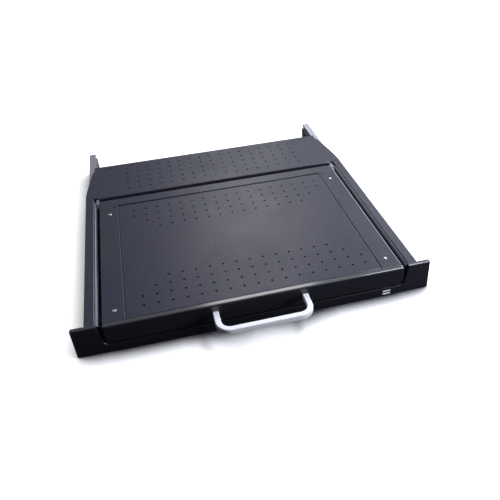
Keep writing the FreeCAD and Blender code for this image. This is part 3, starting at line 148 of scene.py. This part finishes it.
# Name, place, point aimed at, width and height, power in watts and colour.
LAMPS = (
    ("back_softbox", (0.36, 2.00, 1.35), (0.0, 0.17, 0.0), (0.6, 0.9), 9.0, (0.98, 0.985, 1.0)),
    ("top_card", (0.60, 0.06, 1.00), (0.18, 0.0, 0.0), (0.60, 0.22), 10.5, (0.84, 0.88, 1.0)),
    ("right_back_card", (1.70, 2.00, 0.80), (0.15, 0.15, 0.0), (1.2, 0.9), 25.0,
     (0.86, 0.90, 1.0)),
    ("right_front_card", (0.75, -0.52, 0.22), (0.20, -0.01, 0.0), (0.3, 0.3), 6.0,
     (0.85, 0.9, 1.0)),
)


# ---------------------------------------------------------------- settings

class ConsolePaint(bpy.types.PropertyGroup):
    """Colours and texture of the painted pieces."""
    sheet_color: bpy.props.FloatVectorProperty(
        name="Sheet paint", description="Colour of the textured paint on tray, covers and lid",
        subtype="COLOR", size=3, min=0, max=1, default=(0.022, 0.0215, 0.033))
    bezel_color: bpy.props.FloatVectorProperty(
        name="Bezel paint", description="Colour of the smooth paint on the front pieces",
        subtype="COLOR", size=3, min=0, max=1, default=(0.0055, 0.0055, 0.0095))
    handle_color: bpy.props.FloatVectorProperty(
        name="Handle paint", description="Colour of the handle's powder coat",
        subtype="COLOR", size=3, min=0, max=1, default=(0.80, 0.80, 0.82))
    grain_size: bpy.props.FloatProperty(
        name="Paint grain", description="Distance between two grains of the textured paint",
        unit="LENGTH", default=0.0009, min=0.0001, max=0.01, precision=4)
    edge_radius: bpy.props.FloatProperty(
        name="Edge rounding", description="Rounding that the paint gives to folded edges",
        unit="LENGTH", default=0.0006, min=0.0, max=0.005, precision=4)


class ConsoleStage(bpy.types.PropertyGroup):
    """Camera, room light and floor."""
    azimuth: bpy.props.FloatProperty(
        name="Azimuth", description="Turn of the camera from straight ahead, towards the right",
        subtype="ANGLE", default=math.radians(12.935))
    elevation: bpy.props.FloatProperty(
        name="Elevation", description="How far the camera looks down",
        subtype="ANGLE", default=math.radians(37.174))
    roll: bpy.props.FloatProperty(
        name="Roll", description="Tilt of the camera about its own view",
        subtype="ANGLE", default=math.radians(-2.907))
    location: bpy.props.FloatVectorProperty(
        name="Camera place", description="Where the camera stands, in the drawer's frame",
        subtype="TRANSLATION", unit="LENGTH", size=3, default=(-0.10022, -0.58018, 0.50559))
    lens: bpy.props.FloatProperty(
        name="Lens", description="Focal length on a 36 mm sensor",
        default=41.77, min=10, max=200)
    shift: bpy.props.FloatVectorProperty(
        name="Lens shift", description="Sideways and upward shift of the lens",
        size=2, default=(-0.0642, 0.0352))
    world_level: bpy.props.FloatProperty(
        name="Room light", description="Strength of the even light from all round",
        default=0.42, min=0, max=3)
    floor_lift: bpy.props.FloatProperty(
        name="Floor lift", description="Extra light that only the camera sees on the floor",
        default=0.90, min=0, max=2)
    floor_color: bpy.props.FloatVectorProperty(
        name="Floor", description="Colour of the floor",
        subtype="COLOR", size=3, min=0, max=1, default=(0.92, 0.92, 0.92))


# ---------------------------------------------------------------- node helpers

def math_node(tree, operation, a, b=None, clamp=False):
    """Math node whose inputs are sockets or plain numbers; returns its output."""
    node = tree.nodes.new("ShaderNodeMath")
    node.operation = operation
    node.use_clamp = clamp
    for index, value in enumerate((a, b)):
        if value is None:
            continue
        if isinstance(value, (int, float)):
            node.inputs[index].default_value = value
        else:
            tree.links.new(value, node.inputs[index])
    return node.outputs[0]


def times(tree, value, amount, clamp=False):
    """Product of two sockets, or of a socket and a number."""
    return math_node(tree, "MULTIPLY", value, amount, clamp)


def spread(tree, value, low, high, to_low=0.0, to_high=1.0):
    """Map a value's span onto another one, held at the ends."""
    node = tree.nodes.new("ShaderNodeMapRange")
    node.clamp = True
    tree.links.new(value, node.inputs["Value"])
    for label, number in (("From Min", low), ("From Max", high),
                          ("To Min", to_low), ("To Max", to_high)):
        node.inputs[label].default_value = number
    return node.outputs["Result"]


def object_place(tree, stretch=(1.0, 1.0, 1.0)):
    """Place on the object, scaled along each axis."""
    place = tree.nodes.new("ShaderNodeTexCoord")
    mapping = tree.nodes.new("ShaderNodeMapping")
    mapping.inputs["Scale"].default_value = stretch
    tree.links.new(place.outputs["Object"], mapping.inputs["Vector"])
    return mapping.outputs["Vector"]


def noise(tree, vector, scale, detail, roughness):
    """Noise whose scale is a socket or a plain number."""
    node = tree.nodes.new("ShaderNodeTexNoise")
    tree.links.new(vector, node.inputs["Vector"])
    if isinstance(scale, (int, float)):
        node.inputs["Scale"].default_value = scale
    else:
        tree.links.new(scale, node.inputs["Scale"])
    node.inputs["Detail"].default_value = detail
    node.inputs["Roughness"].default_value = roughness
    return node.outputs["Fac"]


def mix_color(tree, mask, first, second):
    """Colour between two, by a mask; each is a socket or a plain colour."""
    node = tree.nodes.new("ShaderNodeMix")
    node.data_type = "RGBA"
    color_a, color_b, color_out = node.inputs[6], node.inputs[7], node.outputs[2]
    tree.links.new(mask, node.inputs["Factor"])
    for socket, value in ((color_a, first), (color_b, second)):
        if isinstance(value, (tuple, list)):
            socket.default_value = (*value[:3], 1.0)
        else:
            tree.links.new(value, socket)
    return color_out


def scaled(color, factor):
    """Colour with its channels multiplied."""
    return tuple(channel * factor for channel in color)


def lifted(color, factor, lift):
    """Lighter colour for specks, held below white."""
    return tuple(min(channel * factor + lift, 1.0) for channel in color)


# ---------------------------------------------------------------- node groups

def new_group(name, inputs, outputs):
    """Shader node group with float inputs and outputs; returns it and its two end nodes."""
    group = bpy.data.node_groups.new(name, "ShaderNodeTree")
    for label, default in inputs:
        made = group.interface.new_socket(name=label, in_out="INPUT",
                                          socket_type="NodeSocketFloat")
        made.default_value = default
        made.min_value = 0.0
    for label in outputs:
        group.interface.new_socket(name=label, in_out="OUTPUT", socket_type="NodeSocketFloat")
    return group, group.nodes.new("NodeGroupInput"), group.nodes.new("NodeGroupOutput")


def build_grain():
    """Fine orange peel of powder coat or moulded texture."""
    group, start, end = new_group("paint_grain", [("Scale", 1000.0)], ["Height", "Speckle"])
    place = object_place(group)
    scale = start.outputs["Scale"]
    peel = noise(group, place, scale, detail=3.0, roughness=0.6)
    cells = group.nodes.new("ShaderNodeTexVoronoi")
    cells.feature = "SMOOTH_F1"
    cell_scale, peel_share, cell_share = 0.7, 0.6, 0.5
    group.links.new(place, cells.inputs["Vector"])
    group.links.new(times(group, scale, cell_scale), cells.inputs["Scale"])
    height = math_node(group, "ADD", times(group, peel, peel_share),
                       times(group, cells.outputs["Distance"], cell_share))
    group.links.new(height, end.inputs["Height"])
    fleck_scale, fine_share, fleck_share = 0.45, 0.5, 0.5
    flecks = noise(group, place, times(group, scale, fleck_scale), detail=2.0, roughness=0.7)
    fine = times(group, spread(group, peel, low=0.35, high=0.68), fine_share)
    coarse = times(group, spread(group, flecks, low=0.42, high=0.66), fleck_share)
    group.links.new(math_node(group, "ADD", fine, coarse), end.inputs["Speckle"])
    return group


def build_edges():
    """Edge is one along edges, and Mask is the same broken up by noise. Edge also places the
    vents' painted shade.
    """
    group, start, end = new_group("edge_wear_and_vent_shade", [("Radius", 0.0008), ("Breakup", 350.0)],
                                  ["Mask", "Edge"])
    bevel = group.nodes.new("ShaderNodeBevel")
    bevel.samples = BEVEL_SAMPLES
    group.links.new(start.outputs["Radius"], bevel.inputs["Radius"])
    flat = group.nodes.new("ShaderNodeNewGeometry")
    dot = group.nodes.new("ShaderNodeVectorMath")
    dot.operation = "DOT_PRODUCT"
    group.links.new(bevel.outputs["Normal"], dot.inputs[0])
    group.links.new(flat.outputs["Normal"], dot.inputs[1])
    turned = math_node(group, "SUBTRACT", 1.0, dot.outputs["Value"])
    edge = spread(group, turned, low=0.03, high=0.30)
    group.links.new(edge, end.inputs["Edge"])
    patches = noise(group, object_place(group), start.outputs["Breakup"],
                    detail=4.0, roughness=0.65)
    broken = spread(group, patches, low=0.42, high=0.66)
    group.links.new(times(group, edge, broken, clamp=True), end.inputs["Mask"])
    return group


def build_marks():
    """Handling marks: soft cloudy patches and a few long faint rubs."""
    group, start, end = new_group("handling_marks", [("Size", 14.0)], ["Cloud", "Rub"])
    cloud = noise(group, object_place(group), start.outputs["Size"], detail=4.0, roughness=0.55)
    group.links.new(spread(group, cloud, low=0.3, high=0.7), end.inputs["Cloud"])
    rub = noise(group, object_place(group, (9.0, 90.0, 9.0)), start.outputs["Size"],
                detail=3.0, roughness=0.7)
    group.links.new(spread(group, rub, low=0.55, high=0.78), end.inputs["Rub"])
    return group


def build_rolling():
    """Rolling lines along the length of a drawn metal strip, and the spangle of its zinc."""
    group, start, end = new_group("rolled_lines", [("Scale", 260.0)], ["Lines", "Spangle"])
    lines = noise(group, object_place(group, (6.0, 0.05, 6.0)), start.outputs["Scale"],
                  detail=3.0, roughness=0.6)
    group.links.new(lines, end.inputs["Lines"])
    spangle = group.nodes.new("ShaderNodeTexVoronoi")
    group.links.new(object_place(group), spangle.inputs["Vector"])
    spangle.inputs["Scale"].default_value = 120.0
    group.links.new(spangle.outputs["Distance"], end.inputs["Spangle"])
    return group


GROUP_BUILDERS = {"paint_grain": build_grain, "edge_wear_and_vent_shade": build_edges,
                  "handling_marks": build_marks, "rolled_lines": build_rolling}


def place_group(tree, name, **values):
    """Put a shared node group in a material, set its inputs and return its outputs."""
    group = bpy.data.node_groups.get(name) or GROUP_BUILDERS[name]()
    node = tree.nodes.new("ShaderNodeGroup")
    node.node_tree = group
    for label, value in values.items():
        node.inputs[label].default_value = value
    return node.outputs


# ---------------------------------------------------------------- materials

def new_material(name):
    """Material with its node tree and its shader."""
    material = bpy.data.materials.new(name)
    material.use_nodes = True
    tree = material.node_tree
    return material, tree, tree.nodes["Principled BSDF"]


def soften_edges(tree, shader, height, strength, depth, radius=PLAIN_RADIUS):
    """Bump over a rounded edge normal."""
    bump = tree.nodes.new("ShaderNodeBump")
    bump.inputs["Strength"].default_value = strength
    bump.inputs["Distance"].default_value = depth
    tree.links.new(height, bump.inputs["Height"])
    bevel = tree.nodes.new("ShaderNodeBevel")
    bevel.samples = BEVEL_SAMPLES
    bevel.inputs["Radius"].default_value = radius
    tree.links.new(bevel.outputs["Normal"], bump.inputs["Normal"])
    tree.links.new(bump.outputs["Normal"], shader.inputs["Normal"])


def vent_shade(tree, area):
    """Mask of the painted shade round the rims of punched vents, inside the given half width and
    depths.
    """
    half, front, rear = area
    rims = place_group(tree, "edge_wear_and_vent_shade", Radius=VENT_SHADE_WIDTH)["Edge"]
    place = tree.nodes.new("ShaderNodeSeparateXYZ")
    tree.links.new(object_place(tree), place.inputs["Vector"])
    across = math_node(tree, "LESS_THAN", math_node(tree, "ABSOLUTE", place.outputs["X"]), half)
    behind = math_node(tree, "GREATER_THAN", place.outputs["Y"], front)
    before = math_node(tree, "LESS_THAN", place.outputs["Y"], rear)
    inside = times(tree, across, times(tree, behind, before))
    return times(tree, inside, spread(tree, rims, low=0.0, high=0.22))


def tilted(tree):
    """Mask of rounded edges and sides, where the paint flows out smoother than on flats."""
    way = tree.nodes.new("ShaderNodeSeparateXYZ")
    tree.links.new(tree.nodes.new("ShaderNodeTexCoord").outputs["Normal"], way.inputs["Vector"])
    flat = math_node(tree, "ABSOLUTE", way.outputs["Z"])
    return spread(tree, math_node(tree, "SUBTRACT", 1.0, flat), low=0.012, high=0.06)


def painted(name, color, roughness, grain, bump, radius, worn, wear, coat=0.0, shine=0.5,
            speckle=0.15, vents=None, edge_coat=0.0):
    """Paint with grain, cloudy gloss, faint rubs and edges rubbed lighter.

    worn is the colour of rubbed edges and wear the share of it that shows. coat is a clear
    coat all over, and edge_coat one on edges only. vents is the area where the vents' rims
    get painted shade.
    """
    cloud_change, rub_change = 0.08, 0.05
    material, tree, shader = new_material(name)
    texture = place_group(tree, "paint_grain", Scale=1.0 / grain)
    marks = place_group(tree, "handling_marks", Size=13.0)
    edges = place_group(tree, "edge_wear_and_vent_shade", Radius=max(radius, SMALLEST_WEAR))
    light = lifted(color, 1.0 + speckle, SPECK_LIFT)
    tinted = mix_color(tree, texture["Speckle"], color, light)
    tinted = mix_color(tree, times(tree, edges["Mask"], wear), tinted, worn)
    unshaded_share = 1.0
    shader.inputs["Specular IOR Level"].default_value = shine
    if vents:
        # Painted shade round the vents' rims: a near black colour, and less gloss and coat
        # there.
        shade = vent_shade(tree, vents)
        tinted = mix_color(tree, shade, tinted, VENT_SHADE_COLOR)
        unshaded_share = math_node(tree, "SUBTRACT", 1.0, shade)
        tree.links.new(times(tree, unshaded_share, shine), shader.inputs["Specular IOR Level"])
    tree.links.new(tinted, shader.inputs["Base Color"])
    rough = math_node(tree, "ADD", roughness - cloud_change / 2,
                      times(tree, marks["Cloud"], cloud_change))
    rough = math_node(tree, "SUBTRACT", rough, times(tree, marks["Rub"], rub_change), True)
    tree.links.new(rough, shader.inputs["Roughness"])
    shader.inputs["Coat Weight"].default_value = coat
    if edge_coat:
        rim = math_node(tree, "MAXIMUM", tilted(tree), edges["Edge"])
        rim = times(tree, times(tree, rim, unshaded_share), edge_coat)
        tree.links.new(rim, shader.inputs["Coat Weight"])
    shader.inputs["Coat Roughness"].default_value = COAT_ROUGHNESS
    soften_edges(tree, shader, texture["Height"], bump, PAINT_RELIEF, radius)
    return material


def rolled_metal(name, color, roughness):
    """Plated steel strip with rolling lines and faint spangle."""
    line_change, cloud_change, line_relief = 0.12, 0.08, 0.15
    material, tree, shader = new_material(name)
    lines = place_group(tree, "rolled_lines", Scale=260.0)
    marks = place_group(tree, "handling_marks", Size=30.0)
    tint = mix_color(tree, spread(tree, lines["Lines"], low=0.3, high=0.7),
                     scaled(color, METAL_DARK), color)
    cool = tuple(min(channel * factor, 1.0) for channel, factor in zip(color, METAL_COOL))
    tint = mix_color(tree, times(tree, lines["Spangle"], SPANGLE_AMOUNT, clamp=True), tint, cool)
    tree.links.new(tint, shader.inputs["Base Color"])
    shader.inputs["Metallic"].default_value = 1.0
    rough = math_node(tree, "ADD", roughness - line_change / 2,
                      times(tree, lines["Lines"], line_change))
    rough = math_node(tree, "ADD", rough, times(tree, marks["Cloud"], cloud_change), True)
    tree.links.new(rough, shader.inputs["Roughness"])
    soften_edges(tree, shader, lines["Lines"], line_relief, FINE_RELIEF)
    return material


def moulded(name, color, roughness, grain=0.0007, bump=0.25, radius=PLAIN_RADIUS):
    """Moulded plastic with a fine spark eroded texture and a little shine where hands touch."""
    cloud_lift, cloud_change, speck_share = 0.05, 0.12, 0.5
    material, tree, shader = new_material(name)
    texture = place_group(tree, "paint_grain", Scale=1.0 / grain)
    marks = place_group(tree, "handling_marks", Size=40.0)
    light = lifted(color, MOULDED_SPECK, MOULDED_LIFT)
    tree.links.new(mix_color(tree, times(tree, texture["Speckle"], speck_share), color, light),
                   shader.inputs["Base Color"])
    rough = math_node(tree, "SUBTRACT", roughness + cloud_lift,
                      times(tree, marks["Cloud"], cloud_change), True)
    tree.links.new(rough, shader.inputs["Roughness"])
    soften_edges(tree, shader, texture["Height"], bump, FINE_RELIEF, radius)
    return material


def dark_screen():
    """Anti-glare screen: near black with a fine matt coat."""
    material, tree, shader = new_material("screen_glass")
    texture = place_group(tree, "paint_grain", Scale=4000.0)
    cloud = place_group(tree, "handling_marks", Size=8.0)["Cloud"]
    tree.links.new(mix_color(tree, cloud, (0.012, 0.013, 0.016), (0.014, 0.015, 0.019)),
                   shader.inputs["Base Color"])
    tree.links.new(spread(tree, cloud, 0.0, 1.0, to_low=0.22, to_high=0.24),
                   shader.inputs["Roughness"])
    shader.inputs["Coat Weight"].default_value = 0.3
    shader.inputs["Coat Roughness"].default_value = 0.22
    soften_edges(tree, shader, texture["Height"], strength=0.05, depth=FINE_RELIEF)
    return material


def circuit_board():
    """Solder mask with copper tracks showing through."""
    material, tree, shader = new_material("circuit_board")
    tracks = tree.nodes.new("ShaderNodeTexBrick")
    tree.links.new(object_place(tree, (90.0, 90.0, 90.0)), tracks.inputs["Vector"])
    tracks.inputs["Color1"].default_value = (0.010, 0.080, 0.035, 1)
    tracks.inputs["Color2"].default_value = (0.014, 0.105, 0.045, 1)
    tracks.inputs["Mortar"].default_value = (0.030, 0.190, 0.080, 1)
    tree.links.new(tracks.outputs["Color"], shader.inputs["Base Color"])
    cloud = place_group(tree, "handling_marks", Size=60.0)["Cloud"]
    tree.links.new(spread(tree, cloud, 0.0, 1.0, to_low=0.3, to_high=0.45),
                   shader.inputs["Roughness"])
    soften_edges(tree, shader, tracks.outputs["Fac"], strength=0.2, depth=FINE_RELIEF,
                 radius=0.0002)
    return material


def light_bar():
    """Milky light guide, softly lit."""
    material, tree, shader = new_material("light_bar")
    cloud = place_group(tree, "handling_marks", Size=400.0)["Cloud"]
    milk = mix_color(tree, cloud, (0.78, 0.79, 0.82), (0.92, 0.93, 0.95))
    tree.links.new(milk, shader.inputs["Base Color"])
    tree.links.new(milk, shader.inputs["Emission Color"])
    shader.inputs["Emission Strength"].default_value = 0.22
    tree.links.new(spread(tree, cloud, 0.0, 1.0, to_low=0.25, to_high=0.35),
                   shader.inputs["Roughness"])
    return material


def dress(material, names):
    """Give the named nodes one material."""
    for name in names:
        mesh = NODES[name].data
        mesh.materials.clear()
        mesh.materials.append(material)


def dress_metals(rows):
    """Make each metal of a table and put it on its pieces."""
    for name, color, roughness, pieces in rows:
        dress(rolled_metal(name, color, roughness), pieces)


def dress_plastics(rows):
    """Make each plastic of a table and put it on its pieces."""
    for name, color, roughness, settings, pieces in rows:
        dress(moulded(name, color, roughness, **settings), pieces)


# ---------------------------------------------------------------- finish operators

class CONSOLE_OT_paint_sheet(bpy.types.Operator):
    """Textured paint on the tray, the covers, the display frame and the lid"""
    bl_idname = "console.paint_sheet"
    bl_label = "Paint the sheet parts"
    bl_options = {"REGISTER", "UNDO"}

    def execute(self, context):
        paint = context.scene.console_paint
        for name, settings, pieces in SHEET_PAINTS:
            settings = {"radius": paint.edge_radius, **settings}
            dress(painted(name, tuple(paint.sheet_color), grain=paint.grain_size,
                          shine=SHEET_SHINE, **settings), pieces)
        return {"FINISHED"}


class CONSOLE_OT_paint_front(bpy.types.Operator):
    """Smooth dark paint on the bezel, the lid's front bar and the front brackets"""
    bl_idname = "console.paint_front"
    bl_label = "Paint the front parts"
    bl_options = {"REGISTER", "UNDO"}

    def execute(self, context):
        paint = context.scene.console_paint
        front = painted("front_paint", tuple(paint.bezel_color), radius=paint.edge_radius,
                        grain=paint.grain_size * FRONT_GRAIN, **FRONT_PAINT)
        dress(front, ["front_bezel", "lid_front_bar", *sides("front_bracket")])
        return {"FINISHED"}


class CONSOLE_OT_coat_handle(bpy.types.Operator):
    """Pale powder coat on the pull handle"""
    bl_idname = "console.coat_handle"
    bl_label = "Coat the handle"
    bl_options = {"REGISTER", "UNDO"}

    def execute(self, context):
        color = tuple(context.scene.console_paint.handle_color)
        dress(painted("handle_coat", color, **HANDLE_COAT), ["handle"])
        return {"FINISHED"}


class CONSOLE_OT_metal(bpy.types.Operator):
    """Plated slides, ball cages, hinges, brackets, standoffs and the supply's case"""
    bl_idname = "console.metal"
    bl_label = "Finish the metal parts"
    bl_options = {"REGISTER", "UNDO"}

    def execute(self, context):
        dress_metals(METALS)
        return {"FINISHED"}


class CONSOLE_OT_screws(bpy.types.Operator):
    """Bright screws on handle, slides and lid, and black ones on the covers"""
    bl_idname = "console.screws"
    bl_label = "Finish the screws"
    bl_options = {"REGISTER", "UNDO"}

    def execute(self, context):
        dress_metals(SCREW_METALS)
        return {"FINISHED"}


class CONSOLE_OT_keyboard(bpy.types.Operator):
    """Moulded keys, deck, touch pad and its buttons"""
    bl_idname = "console.keyboard"
    bl_label = "Finish the keyboard"
    bl_options = {"REGISTER", "UNDO"}

    def execute(self, context):
        dress_plastics(KEYBOARD_PLASTICS)
        return {"FINISHED"}


class CONSOLE_OT_display(bpy.types.Operator):
    """Screen, circuit boards and the four menu buttons"""
    bl_idname = "console.display"
    bl_label = "Finish the display"
    bl_options = {"REGISTER", "UNDO"}

    def execute(self, context):
        dress(dark_screen(), ["display_panel"])
        dress(circuit_board(), ["display_board", "osd_board", "kvm_board"])
        dress_plastics(MENU_PLASTICS)
        return {"FINISHED"}


class CONSOLE_OT_connectors(bpy.types.Operator):
    """Inlet, rocker, video and data sockets and the indicator bars"""
    bl_idname = "console.connectors"
    bl_label = "Finish the sockets and lights"
    bl_options = {"REGISTER", "UNDO"}

    def execute(self, context):
        dress_plastics(SOCKET_PLASTICS)
        dress_metals(PORT_METALS)
        dress(light_bar(), ["indicator_bars"])
        return {"FINISHED"}


# ---------------------------------------------------------------- stage

def aim(azimuth, elevation, roll):
    """Right, up and back vectors of a camera."""
    forward = Vector((math.sin(azimuth) * math.cos(elevation),
                      math.cos(azimuth) * math.cos(elevation), -math.sin(elevation)))
    right = forward.cross(Vector((0, 0, 1))).normalized()
    up = right.cross(forward)
    cos, sin = math.cos(roll), math.sin(roll)
    return cos * right + sin * up, cos * up - sin * right, -forward


def area_lamp(name, place, target, size, power, color):
    """Rectangular lamp that stands at a place and points at the target."""
    data = bpy.data.lights.new(name, "AREA")
    data.shape = "RECTANGLE"
    data.size, data.size_y = size
    data.energy = power
    data.color = color
    lamp = bpy.data.objects.new(name, data)
    lamp.location = place
    way = Vector(target) - Vector(place)
    lamp.rotation_euler = way.to_track_quat("-Z", "Y").to_euler()
    bpy.context.scene.collection.objects.link(lamp)


def floor_paper(stage):
    """Pale paper that the camera sees lifted, with a painted dark cool contact shadow close to
    the object.
    """
    material, tree, shader = new_material("floor_paper")
    fine = noise(tree, object_place(tree), FLOOR_GRAIN, detail=3.0, roughness=0.5)
    seen = tree.nodes.new("ShaderNodeLightPath").outputs["Is Camera Ray"]
    near = tree.nodes.new("ShaderNodeAmbientOcclusion")
    near.samples = CONTACT_SAMPLES
    near.inputs["Distance"].default_value = CONTACT_REACH
    open_air = spread(tree, near.outputs["AO"], *CONTACT_SPAN)
    color = tuple(stage.floor_color)
    paper = mix_color(tree, fine, scaled(color, FLOOR_DIM), color)
    # Painted contact shadow: the paper darkens to CONTACT_SHADE near the object, and its lift
    # fades there too.
    paper = mix_color(tree, open_air, CONTACT_SHADE, paper)
    tree.links.new(mix_color(tree, seen, FLOOR_BOUNCE, paper), shader.inputs["Base Color"])
    tree.links.new(spread(tree, fine, 0.0, 1.0, to_low=0.75, to_high=0.85),
                   shader.inputs["Roughness"])
    lift = times(tree, times(tree, seen, stage.floor_lift), open_air)
    tree.links.new(lift, shader.inputs["Emission Strength"])
    shader.inputs["Emission Color"].default_value = (1, 1, 1, 1)
    shader.inputs["Specular IOR Level"].default_value = 0.0
    return material


def lay_floor(scene, stage):
    """Flat square floor just under the tray."""
    mesh = bpy.data.meshes.new("floor")
    corners = [(-FLOOR_HALF, -FLOOR_HALF, 0), (FLOOR_HALF, -FLOOR_HALF, 0),
               (FLOOR_HALF, FLOOR_HALF, 0), (-FLOOR_HALF, FLOOR_HALF, 0)]
    mesh.from_pydata(corners, [], [(0, 1, 2, 3)])
    floor = bpy.data.objects.new("floor", mesh)
    floor.location.z = FLOOR_Z - FLOOR_GAP
    scene.collection.objects.link(floor)
    mesh.materials.append(floor_paper(stage))


def light_room(scene, stage):
    """Soft light that is stronger overhead and behind than low in front."""
    world = bpy.data.worlds.new("room")
    world.use_nodes = True
    tree = world.node_tree
    back = tree.nodes["Background"]
    toward = tree.nodes.new("ShaderNodeVectorMath")
    toward.operation = "DOT_PRODUCT"
    toward.inputs[1].default_value = Vector(BRIGHT_SIDE).normalized()
    direction = tree.nodes.new("ShaderNodeTexCoord").outputs["Generated"]
    tree.links.new(direction, toward.inputs[0])
    level = spread(tree, toward.outputs["Value"], *BRIGHT_SPAN,
                   to_low=DIM_SHARE * stage.world_level, to_high=stage.world_level)
    seen = tree.nodes.new("ShaderNodeLightPath").outputs["Is Camera Ray"]
    tree.links.new(math_node(tree, "MAXIMUM", level, seen), back.inputs["Strength"])
    tree.links.new(mix_color(tree, seen, ROOM_COLOR, (1.0, 1.0, 1.0)), back.inputs["Color"])
    scene.world = world


def place_camera(scene, stage):
    """Camera at the stage's place and angles."""
    data = bpy.data.cameras.new("view")
    data.sensor_width = SENSOR_WIDTH
    data.lens = stage.lens
    data.shift_x, data.shift_y = stage.shift
    data.clip_start = CLIP_START
    camera = bpy.data.objects.new("view", data)
    turn = Matrix(aim(stage.azimuth, stage.elevation, stage.roll)).transposed().to_4x4()
    camera.matrix_world = Matrix.Translation(Vector(stage.location)) @ turn
    scene.collection.objects.link(camera)
    scene.camera = camera
    scene.view_settings.view_transform = "Standard"


class CONSOLE_OT_stage(bpy.types.Operator):
    """Pale floor, room light, soft lamps and the camera"""
    bl_idname = "console.stage"
    bl_label = "Set the stage"
    bl_options = {"REGISTER", "UNDO"}

    def execute(self, context):
        scene = context.scene
        lay_floor(scene, scene.console_stage)
        light_room(scene, scene.console_stage)
        for row in LAMPS:
            area_lamp(*row)
        place_camera(scene, scene.console_stage)
        return {"FINISHED"}


class CONSOLE_PT_panel(bpy.types.Panel):
    """Buttons and settings for the console drawer"""
    bl_idname = "CONSOLE_PT_panel"
    bl_label = "Console drawer"
    bl_space_type = "VIEW_3D"
    bl_region_type = "UI"
    bl_category = "Console"

    def draw(self, context):
        layout = self.layout
        for owner in (context.scene.console_paint, context.scene.console_stage):
            for name in type(owner).__annotations__:
                layout.prop(owner, name)
        for operator in OPERATORS:
            layout.operator(operator.bl_idname)


OPERATORS = (CONSOLE_OT_paint_sheet, CONSOLE_OT_paint_front, CONSOLE_OT_coat_handle,
             CONSOLE_OT_metal, CONSOLE_OT_screws, CONSOLE_OT_keyboard, CONSOLE_OT_display,
             CONSOLE_OT_connectors, CONSOLE_OT_stage)
CLASSES = (ConsolePaint, ConsoleStage, *OPERATORS, CONSOLE_PT_panel)


def register():
    for item in CLASSES:
        bpy.utils.register_class(item)
    bpy.types.Scene.console_paint = bpy.props.PointerProperty(type=ConsolePaint)
    bpy.types.Scene.console_stage = bpy.props.PointerProperty(type=ConsoleStage)


def unregister():
    del bpy.types.Scene.console_stage
    del bpy.types.Scene.console_paint
    for item in reversed(CLASSES):
        bpy.utils.unregister_class(item)


def main():
    register()
    for operator in OPERATORS:
        group, name = operator.bl_idname.split(".")
        getattr(getattr(bpy.ops, group), name)()


if __name__ == "__main__":
    main()
